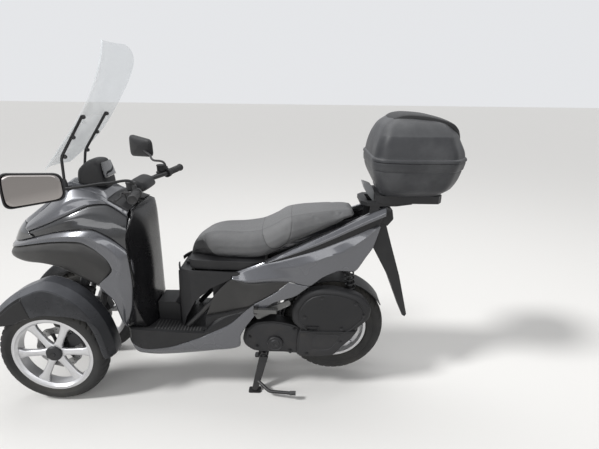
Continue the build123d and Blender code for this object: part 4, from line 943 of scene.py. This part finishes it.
# Airbox, transmission case and crankcase cover: domes with raised bands, whose outlines follow the CAD's
airboxForm = {"outline": [(1154, 353), (1404, 353), (1434, 383), (1467, 419), (1475, 463), (1458, 497),
                          (1425, 531), (1333, 564), (1242, 571), (1181, 557), (1151, 536), (1106, 466),
                          (1110, 400)],
              "centre": (1290, 440), "near": 112, "far": 165}
caseForm = {"outline": [(1143, 207), (1180, 201), (1316, 219), (1347, 257), (1392, 304), (1420, 351),
                        (1143, 351)],
            "centre": (1270, 285), "near": 64, "far": 149}
crankForm = {"outline": [(1144, 209), (1074, 213), (912, 226), (879, 254), (871, 281), (881, 327), (932, 373),
                         (1019, 384), (1144, 350)], "centre": (1015, 300), "near": 64, "far": 135}


def dome(form, count, rings):
    # the outline shrinks to its centre while it rises from the near wall to the far face
    rim = flow(form["outline"], count, closed=True, sharp=0.35)
    deep = form["far"] - form["near"]
    return scaledRings(rim, [(share, -form["near"] - deep * rise) for share, rise in rings], form["centre"])


domeRings = [(1, 0), (1, 0.3), (1, 0.55), (0.99, 0.68), (0.965, 0.8), (0.93, 0.88), (0.88, 0.925),
             (0.84, 0.935), (0.82, 0.895), (0.795, 0.895), (0.775, 0.95), (0.6, 0.975), (0.4, 0.99),
             (0.2, 1.0), (0.02, 1.0)]
makePiece("airboxCover", dome(airboxForm, 150, domeRings), "chassis", blackPlastic,
          outFrom=(1290, -100, 440), form="bar", sharpAngle=26, replaces="airbox")
caseRings = [(1, 0), (1, 0.5), (1, 0.84), (0.985, 0.9), (0.955, 0.94), (0.93, 0.945), (0.92, 0.965),
             (0.86, 0.985), (0.7, 1.0), (0.5, 1.0), (0.47, 0.985), (0.44, 0.985), (0.42, 1.0), (0.2, 1.0),
             (0.02, 1.0)]
crankRings = [(1, 0), (1, 0.55), (1, 0.78), (0.985, 0.84), (0.95, 0.88), (0.92, 0.885), (0.905, 0.92),
              (0.8, 0.955), (0.6, 0.985), (0.3, 1.0), (0.02, 1.0)]
makePiece("caseCover", [dome(caseForm, 120, caseRings), dome(crankForm, 120, crankRings)], "chassis",
          castDark, form="bar", sharpAngle=26, replaces="transmission_case")

# Below the airbox a ledge, and in its corner a framed slot
ring = cornered([(-112, 346), (-112, 358), (-167.5, 357), (-167.5, 348)], 2.5, 4, 1)
grid = gridOf(np.array([1150, 1152, 1404, 1406])[:, None], ring[:, 0], ring[:, 1])
makePiece("airboxLedge", grid, "chassis", blackPlastic, form="bar", bevel=1.0, sharpAngle=30)
ring = cornered([(1172, 364), (1235, 364), (1235, 384), (1172, 384)], 5, 5, 2)
grid = scaledRings(ring, [(1, -152), (1, -166.5), (0.97, -167.5), (0.88, -167.5), (0.85, -166.5),
                          (0.82, -161)])
makePiece("airboxSlot", grid, "chassis", glossBlack, form="bar", sharpAngle=30)

# Brake discs: a waved ring with drilled holes, on a dark five-armed carrier
discs = {"frontLeft": ("front_wheel_left", (0, -162.5, 250), 108),
         "frontRight": ("front_wheel_right", (0, 162.5, 250), 108),
         "rear": ("rear_wheel", (1310, 30, 306), 98)}
square = np.array([(-1, -1), (1, -1), (1, 1), (-1, 1)])
for name, (body, centre, radius) in discs.items():
    turn = np.linspace(0, 2 * np.pi, 240, endpoint=False)
    # the section is y, radius and how far the edge follows the wave; the inner edge runs against it
    section = [(-2, radius - 34, -0.7), (-2, radius - 1, 1), (-1.4, radius, 1), (1.4, radius, 1),
               (2, radius - 1, 1), (2, radius - 34, -0.7)]
    y, r, follows = np.array(section).T[..., None]
    r = r + follows * 2.0 * np.cos(12 * turn)
    grid = gridOf(centre[0] + r * np.cos(turn), centre[1] + y, centre[2] + r * np.sin(turn))
    makePiece(name + "Disc", grid, body, bareSteel, form="ring", sharpAngle=30)
    holes = []
    for k in range(36):
        angle = 2 * np.pi * k / 36
        r = radius - (9, 17, 25)[k % 3]
        place = (centre[0] + r * np.cos(angle), centre[1], centre[2] + r * np.sin(angle))
        holes.append(turned([(-2.15, 0.01), (-2.15, 3.1), (2.15, 3.1), (2.15, 0.01)], place, 10))
    makePiece(name + "DiscHoles", holes, body, blackSteel, form="turned")
    run = np.linspace(20, radius - 30, 6)[:, None]
    wide = np.array([16, 12, 9, 8, 9, 13])[:, None]
    arms = [wheelBar(centre, 2 * np.pi * (k + 0.5) / 5, run, wide * square[:, 0], 2.6 * square[:, 1])
            for k in range(5)]
    makePiece(name + "DiscArms", arms, body, castDark, form="bar", bevel=0.8)

# Shocks: damper, rod, spring and eyes, the same on both sides
shock = {"low": np.array([1397, -86, 421]), "high": np.array([1353, -86, 755]), "turns": 9.5, "coil": 20.5,
         "wire": 4.2}
span = np.linalg.norm(shock["high"] - shock["low"])
ahead, across = (shock["high"] - shock["low"]) / span, np.array([0.0, 1.0, 0.0])
shockFrame = (ahead, across, np.cross(ahead, across))
body = spun([(4, 0.01), (4, 11), (12, 14), (150, 14), (152, 17), (158, 17), (160, 9), (172, 7), (290, 7),
             (292, 17), (306, 19), (316, 14), (span - 4, 11), (span - 4, 0.01)], shock["low"], shockFrame, 32)
seatRing = spun([(62, 14), (62, 24.5), (67, 24.5), (68, 20), (74, 15)], shock["low"], shockFrame, 32)
# the spring runs between the seat ring and the head
turn = np.linspace(0, 1, 560)
coil = 2 * np.pi * shock["turns"] * turn[:, None]
line = (shock["low"] + (72 + 216 * turn[:, None]) * ahead
        + shock["coil"] * (np.cos(coil) * shockFrame[1] + np.sin(coil) * shockFrame[2]))
makePiece("shockBodies", [body, seatRing], "chassis", blackSteel, mirrored=True, form="tube", sharpAngle=30,
          replaces="rear_shocks")
makePiece("shockSprings", tube(line, shock["wire"], 10, straight=True), "chassis", blackSteel,
          mirrored=True, form="bar")
eyes = [turned([(-8, 7), (-8, 11.5), (wide, 11.5), (wide, 7)], shock[end], 28)
        for end, wide in (("low", 10), ("high", 3))]
bolts = [turned([(-11, 0.01), (-11, 7.5), (-8, 8.5), (-8, 5), (4, 5), (4, 0.01)], shock[end], 6)
         for end in ("low", "high")]
makePiece("shockEyes", eyes, "chassis", castDark, mirrored=True, form="turned", sharpAngle=30)
makePiece("shockBolts", bolts, "chassis", bareSteel, mirrored=True, form="turned", sharpAngle=20)
print("discs and shocks made")

# Grips and bar ends, along the bar's two straight ends
barEnd = np.array([34 + 1015 * np.tan(np.radians(20)) + 97, -335, 1030.0])
barIn = np.array([34 + 1015 * np.tan(np.radians(20)) + 62, -190, 1024.0])
gripWay = (barIn - barEnd) / np.linalg.norm(barIn - barEnd)
barSide = np.cross(gripWay, [0, 0, 1.0])
barSide /= np.linalg.norm(barSide)


def onBar(profile, sides=40):
    # a profile of (distance in from the bar's end, radius) carried round the bar
    return spun(profile, barEnd, (gripWay, barSide, np.cross(gripWay, barSide)), sides)


def byBar(inward, offset):
    # a place at a distance in from the bar's end, moved by an offset
    return barEnd + gripWay * inward + offset


ribs = [(1.5, 11.4), (1.5, 17.5), (4, 18.5), (9, 18.5), (10, 15.2)]
for k in range(17):
    start = 12 + 5.6 * k
    ribs += [(start, 14.9), (start + 0.6, 16.4), (start + 3.4, 16.4), (start + 4.0, 14.9)]
ribs += [(109, 15), (110, 18.5), (116, 18.5), (117.5, 17), (117.5, 11.4)]
makePiece("gripRibs", onBar(ribs), "steering", gripRubber, mirrored=True, form="tube", sharpAngle=30,
          replaces="grips")
makePiece("barEnds", onBar([(1.2, 0.01), (1.2, 10.8), (-1, 15), (-1, 15.01), (0.9, 15.5), (0.9, 11)], 32),
          "steering", blackSteel, mirrored=True, form="tube")
switch = [(119.3, 11.4), (119.3, 19), (121, 21.5), (139, 21.5), (140.8, 19), (140.8, 11.4)]
levers = {"pivot": byBar(132, (-26, 0, 2)), "tip": byBar(6, (-66, 0, -8))}
leverLine = [levers["pivot"], levers["pivot"] + (-26, -6, -2), levers["tip"] + (2, 42, 4), levers["tip"]]
lever = tube(leverLine, np.interp(np.linspace(0, 1, 48), [0, 0.2, 0.92, 1], [7, 5, 4, 6]), 14)
perch = tube([byBar(130, (-8, 0, 2)), levers["pivot"]], [9, 8], 16, straight=True)
makePiece("switchPods", onBar(switch), "steering", blackPlastic, mirrored=True, form="tube", sharpAngle=30)
makePiece("leverPerches", perch, "steering", blackSteel, mirrored=True, form="bar")
makePiece("brakeLevers", lever, "steering", castDark, mirrored=True, form="bar")


# Bar cover and instrument: rounded hoods over the middle of the bar and over the dark glass
def pod(outline, half, power, rows, centre):
    # a side outline that shrinks towards both ends across the scooter, as a superellipse does
    across = np.sin(np.linspace(-1, 1, rows) * np.pi / 2)
    size = np.maximum(1e-3, 1 - np.abs(across) ** power) ** (1 / power)
    return scaledRings(flow(outline, 60, closed=True, sharp=0.3), list(zip(size, across * half)), centre)


barCover = pod([(366, 994), (372, 1030), (404, 1051), (450, 1036), (461, 1006), (440, 991)], 76, 4.5, 34,
               (412, 1018))
makePiece("barCover", barCover, "steering", blackPlastic, form="bar", sharpAngle=40, replaces="controls")
hood = pod([(150, 1030), (156, 1086), (214, 1131), (252, 1128), (262, 1112), (274, 1060), (276, 1008),
            (262, 1006)], 70, 4.0, 40, (214, 1052))
makePiece("instrumentHood", hood, "chassis", blackPlastic, form="bar", sharpAngle=40, replaces="instrument")
dial = {"low": np.array([281.5, 0, 1052.0]), "high": np.array([266.0, 0, 1118.0]), "half": 56}
up = np.linspace(0, 1, 14)[:, None]
side = np.linspace(-1, 1, 26)[None, :]
face = dial["low"] + (dial["high"] - dial["low"]) * up[..., None]
grid = gridOf(face[..., 0] - 2.5 * np.abs(side) ** 3, side * dial["half"] * (1 - 0.18 * up ** 2),
              face[..., 2])
makePiece("instrumentGlass", grid, "chassis", lensDark, outFrom=(200, 0, 1060), thick=2.0)

# Mirrors: a rounded rim, a domed back and the glass, on a bent stem
mirrorForm = {"centre": np.array([240.0, -498, 1112]), "across": np.array([-0.8336, -0.5524, 0.0]),
              "outline": [(-93, -49.6), (93, -62), (95, 0), (92, 62), (-90, 44)], "round": 30.0,
              "shell": [(0.93, -4.5), (0.945, -9.5), (0.97, -10.5), (0.99, -9.5), (1.0, -8), (1.0, 2),
                        (0.985, 6), (0.93, 11), (0.8, 16), (0.6, 20), (0.3, 23), (0.02, 24)]}
behind = np.cross(mirrorForm["across"], [0, 0, 1.0])
rim = cornered(mirrorForm["outline"], mirrorForm["round"], 12, 8)
mirrorRim = rim[:, :1] * mirrorForm["across"] + rim[:, 1:] * np.array([0, 0, 1.0])


def mirrorRing(share, depth):
    return mirrorForm["centre"] + share * mirrorRim + depth * behind


shell = np.array([mirrorRing(share, depth) for share, depth in mirrorForm["shell"]])
makePiece("mirrorShells", shell, "steering", blackPlastic, mirrored=True, form="tube",
          sharpAngle=40, replaces="mirrors")
glass = []
for share in (0.945, 0.8, 0.65, 0.5, 0.35, 0.2, 0.1, 0.0):
    # the glass is a shallow dish: its depth goes with the squared distance from the middle
    bow = 1.6 * ((rim[:, :1] * share / 95) ** 2 + (rim[:, 1:] * share / 62) ** 2)
    glass.append(mirrorRing(share, -9.5 + bow))
makePiece("mirrorGlasses", np.array(glass), "steering", mirrorGlass, mirrored=True, form="tube", thick=1.0,
          outFrom=mirrorForm["centre"] + 200 * behind, sharpAngle=60)
stemFoot = byBar(130, (-6, 0, 20))
stem = tube([stemFoot + (0, 0, -4), stemFoot + (-4, -1, 22), (386, -262, 1078), (330, -370, 1088),
             (262, -470, 1098), (246, -490, 1104)], 5.6, 16)
boot = tube([stemFoot + (0, 0, -3), stemFoot + (-1, 0, 14)], [11, 9], 20, straight=True)
makePiece("mirrorStems", stem, "steering", blackSteel, mirrored=True, form="bar")
makePiece("mirrorBoots", boot, "steering", gripRubber, mirrored=True, form="bar", bevel=1.5)

# Fluid cups on both master cylinders, and hoses fixed from them to the column
cup = turned([(-15, 0.01), (-15, 17), (-12, 19), (12, 19), (12, 21), (17, 21), (19, 19), (19, 0.01)],
             (0, 0, 0), 36)
cup = cup[..., [0, 2, 1]] + byBar(148, (-22, 0, 26))
makePiece("fluidCups", cup, "steering", blackPlastic, mirrored=True, form="turned", sharpAngle=30)
hose = tube([byBar(140, (-30, 0, 4)), byBar(165, (-46, 0, -6)), (378, -110, 1000), (364, -60, 960),
             (358, -26, 915)], 4.2, 12)
makePiece("brakeHoses", hose, "steering", gripRubber, mirrored=True, form="bar")
print("controls made")

# Floor: a ribbed mat in each foot well
floorLine = ([334, 456, 560, 700], [351.7, 351.7, 344, 342])
ribSection = np.array([(-3.4, -0.4), (-2.6, 1.6), (2.6, 1.6), (3.4, -0.4)])
mats = []
for s in 462 + 15.0 * np.arange(15):
    inner = 68 if s < 560 else 92 + 0.42 * max(0, s - 600)
    mats.append(gridOf(s + ribSection[:, 0], -np.linspace(inner, 152, 14)[:, None],
                       np.interp(s, *floorLine) + ribSection[:, 1]))
makePiece("matRibs", mats, "chassis", gripRubber, mirrored=True, form="bar", sharpAngle=30)

# Bolts: hexagon heads on round washers
boltPlaces = {"chassis": [(1016, -138, 240), (940, -138, 250), (1100, -138, 225), (905, -136, 300),
                          (1120, -138, 345), (1340, -151, 290), (1180, -151, 222)],
              "airbox": [(1168, -166, 430), (1245, -166, 530), (1400, -165, 500), (1440, -163, 440),
                         (1340, -166, 372)]}
for name, places in boltPlaces.items():
    heads = [turned([(-4.5, 0.01), (-4.5, 4.6), (-1, 5.2), (2, 5.2)], place, 6) for place in places]
    washers = [turned([(-1.2, 0.01), (-1.2, 8), (2, 8)], place, 24) for place in places]
    makePiece(name + "BoltHeads", heads, "chassis", castDark, form="turned", sharpAngle=20)
    makePiece(name + "BoltWashers", washers, "chassis", castDark, form="turned")

# Clutch boss: a round cover with a stepped rim
boss = turned([(-14, 0.01), (-14, 8), (-16, 10), (-16, 20), (-12, 24), (-12, 30), (-14, 33), (-10, 37),
               (2, 40), (4, 40)], (1027, -134, 272), 64)
makePiece("clutchBoss", boss, "chassis", castDark, form="turned", sharpAngle=28)

# Silencer: a tapered can with an outlet, and a ribbed shield over it
silencer = {"start": np.array([1060, 168, 262.0]), "way": np.array([460, -8, 90.0]), "shield": (90, 380)}
way = silencer["way"] / np.linalg.norm(silencer["way"])
one = np.cross(way, [0, 1.0, 0])
one /= np.linalg.norm(one)
two = np.cross(way, one)
can = spun([(0, 15), (2, 20), (40, 42), (60, 48), (66, 49.5), (74, 49.5), (76, 47.5), (395, 47.5),
            (397, 49.5), (412, 49.5), (414, 48), (440, 44), (455, 34), (462, 30), (462, 16), (446, 15),
            (440, 0.01)], silencer["start"], (way, one, two), 56)
pipe = tube([(935, 141, 320), (937, 176, 318), (948, 190, 292), (980, 186, 262), (1030, 174, 262),
             (1066, 168, 263)], 14, 20)
makePiece("silencer", can, "chassis", blackSteel, form="tube", sharpAngle=30, replaces="exhaust")
makePiece("exhaustPipe", pipe, "chassis", castDark, form="bar")
arc = np.linspace(-0.12, 1.12, 18)[None, :, None] * np.pi
first, last = silencer["shield"]
run = np.linspace(first, last, 40)[:, None, None]
endFall = np.clip(1 - np.minimum(run - first, last - run) / 18, 0, 1) ** 2 * 2.2
radius = 49.8 - endFall - 1.6 * np.clip(np.cos(run / 6.2) - 0.55, 0, 1)
grid = silencer["start"] + run * way + radius * (np.cos(arc) * one - np.sin(arc) * two)
makePiece("heatShield", grid, "chassis", blackPlastic, outFrom=(1290, 164, 307), thick=1.5,
          sharpAngle=30)

# Screen: the bolts that hold it to its stays, and a boot at each stay's foot
screenBolts = [turned([(-5, 0.01), (-5, 7), (-3, 9), (4, 9), (5, 0.01)], place, 20)
               for place in ((139, -100, 1152), (192, -108, 1235), (247, -110, 1318))]
makePiece("screenBolts", screenBolts, "chassis", blackSteel, mirrored=True, form="turned")
boot = tube([(109, -85, 1014), (112, -88, 1036), (114, -90.5, 1052)], [15, 12, 7.5], 20, straight=True)
makePiece("stayBoots", boot, "chassis", gripRubber, mirrored=True, form="bar", bevel=1.0)

# Stand: a spring, and the tread on its tang
springEnds = np.array([(968, -60, 160), (1002, -66, 214.0)])
turn = np.linspace(0, 1, 220)[:, None]
springLine = springEnds[0] + turn * (springEnds[1] - springEnds[0])
springLine += 6 * np.concatenate([np.cos(turn * 88), np.sin(turn * 88), 0 * turn], 1)
makePiece("standSpring", tube(springLine, 1.4, 6, straight=True), "chassis", bareSteel, form="bar")
tang = turned([(-7, 0.01), (-7, 10), (-6, 11)] + [(k, 11 - (j % 2)) for j, k in enumerate(range(-5, 20, 2))]
              + [(21, 10), (21, 0.01)], (0, 0, 0), 24)
tang = tang[..., [1, 0, 2]] * (1, -1, 1) + (1108, -212, 43)
makePiece("standTread", tang, "stand", gripRubber, form="turned")

# Stand legs: pressed plates round the tubes, with a rolled edge
leg = {"top": np.array([968, -90, 168.0]), "foot": np.array([926, -143, 12.0]), "wide": (22, 19, 15),
       "deep": (14, 12)}
share = np.array([0, 0.03, 0.2, 0.5, 0.8, 0.97, 1.0])[:, None]
ring = cornered(square, 0.35, 5, 2)
wide = np.interp(share, [0, 0.5, 1], leg["wide"]) * np.interp(share, [0, 0.03, 0.97, 1], [0.8, 1, 1, 0.8])
deep = np.interp(share, [0, 1], leg["deep"])
axis = leg["top"] + (leg["foot"] - leg["top"]) * share
grid = axis[:, None] + gridOf(wide * ring[:, 0], deep * ring[:, 1], 0)
makePiece("standLegs", grid, "stand", blackSteel, mirrored=True, form="bar", sharpAngle=35)

# Tail lamp: a dark housing with the red lens set in its rear face
lamp = {"side": [(1500, 869), (1524, 944), (1551, 930), (1559, 885), (1532, 851)], "half": 77.5}
rows = [(0.02, -1), (0.93, -1), (0.98, -0.985), (1.0, -0.96), (1.0, 0.96), (0.98, 0.985), (0.93, 1),
        (0.02, 1)]
grid = scaledRings(cornered(lamp["side"], 6, 6, 4), [(share, lamp["half"] * y) for share, y in rows])
makePiece("tailLampHousing", grid, "chassis", glossBlack, form="bar", sharpAngle=35, replaces="tail_lamp")
rise, across = np.linspace(0, 1, 12)[:, None], np.linspace(-1, 1, 30)[None, :]
bow = np.minimum(1, 6 * (1 - np.abs(across))) * np.minimum(1, 6 * np.minimum(rise + 0.05, 1.05 - rise))
grid = gridOf(np.interp(rise, [0, 0.42, 1], [1536, 1558.5, 1552]) + 1.8 * bow, 68 * across,
              np.interp(rise, [0, 0.42, 1], [858, 887, 926]))
makePiece("tailLampLens", grid, "chassis", redLens, outFrom=(1500, 0, 890), thick=2.0)

# Footpegs: a cast bracket behind each, and rubber ribs on the inner side of the folded pegs
ring = cornered([(948, 420), (1105, 500), (1094, 524), (932, 452)], 12, 6, 4)
grid = scaledRings(ring, [(0.97, -166), (1, -168), (1, -172.5), (0.96, -174.5), (0.86, -174.5), (0.82, -173),
                          (0.7, -173)])
makePiece("pegBrackets", grid, "chassis", castGrey, mirrored=True, form="bar", sharpAngle=30)
pegRibs = [gridOf(958 + 8.6 * k + np.array([[-2.4], [2.4]]), -185.5 - 0.32 * k + 7.5 * square[:, 0],
                  476 + 9.8 * square[:, 1]) for k in range(9)]
for side, hand in ((1, "left"), (-1, "right")):
    makePiece("pegRubber" + hand.title(), [g * [1, side, 1] for g in pegRibs], "peg_" + hand, gripRubber,
              form="bar", bevel=1.2)
print("small parts made")

# Lights and floor: a pale room, a soft sun and two long soft boxes that draw bands on the paint. The sky
# lights the object weakly, and shows as pale where a camera, glossy or transmission ray meets it
stage = {"sky": (0.80, 0.81, 0.83, 1), "skyLight": 0.35, "skySeen": 0.98, "sun": (2.4, 10, (0.28, -0.75, 0)),
         "boxes": {"side": ((-0.2, -3.4, 2.0), (0.1, 0, 0.7), 8.0, 0.9, 60),
                   "over": ((0.3, 1.2, 4.2), (0.2, 0, 0.8), 6.0, 1.4, 70)},
         "floor": (0.80, 0.79, 0.77)}
world = bpy.data.worlds.new("studio")
bpy.context.scene.world = world
world.use_nodes = True
sky = world.node_tree
background = sky.nodes["Background"]
background.inputs["Color"].default_value = stage["sky"]
rays = sky.nodes.new("ShaderNodeLightPath")
seen = rays.outputs["Is Camera Ray"]
for kind in ("Is Glossy Ray", "Is Transmission Ray"):
    either = sky.nodes.new("ShaderNodeMath")
    either.operation = "MAXIMUM"
    sky.links.new(seen, either.inputs[0])
    sky.links.new(rays.outputs[kind], either.inputs[1])
    seen = either.outputs[0]
strength = sky.nodes.new("ShaderNodeMapRange")
strength.inputs["To Min"].default_value = stage["skyLight"]
strength.inputs["To Max"].default_value = stage["skySeen"]
sky.links.new(seen, strength.inputs["Value"])
sky.links.new(strength.outputs["Result"], background.inputs["Strength"])
power, spread, tilt = stage["sun"]
sun = bpy.data.lights.new("sun", "SUN")
sun.energy, sun.angle = power, np.radians(spread)
addObject("sun", sun).rotation_euler = tilt
for name, (place, target, long, wide, power) in stage["boxes"].items():
    lamp = bpy.data.lights.new(name, "AREA")
    lamp.shape, lamp.size, lamp.size_y, lamp.energy = "RECTANGLE", long, wide, power
    held = addObject(name, lamp)
    held.location = place
    held.rotation_euler = lookAt(place, target)
    held.visible_camera = False
floorMesh = bpy.data.meshes.new("floor")
floorMesh.from_pydata([(-30, -30, 0), (30, -30, 0), (30, 30, 0), (-30, 30, 0)], [], [(0, 1, 2, 3)])
floorMesh.materials.append(Finish("paleFloor", stage["floor"], 0.9).material)
floor = addObject("floor", floorMesh)
print("stage made")
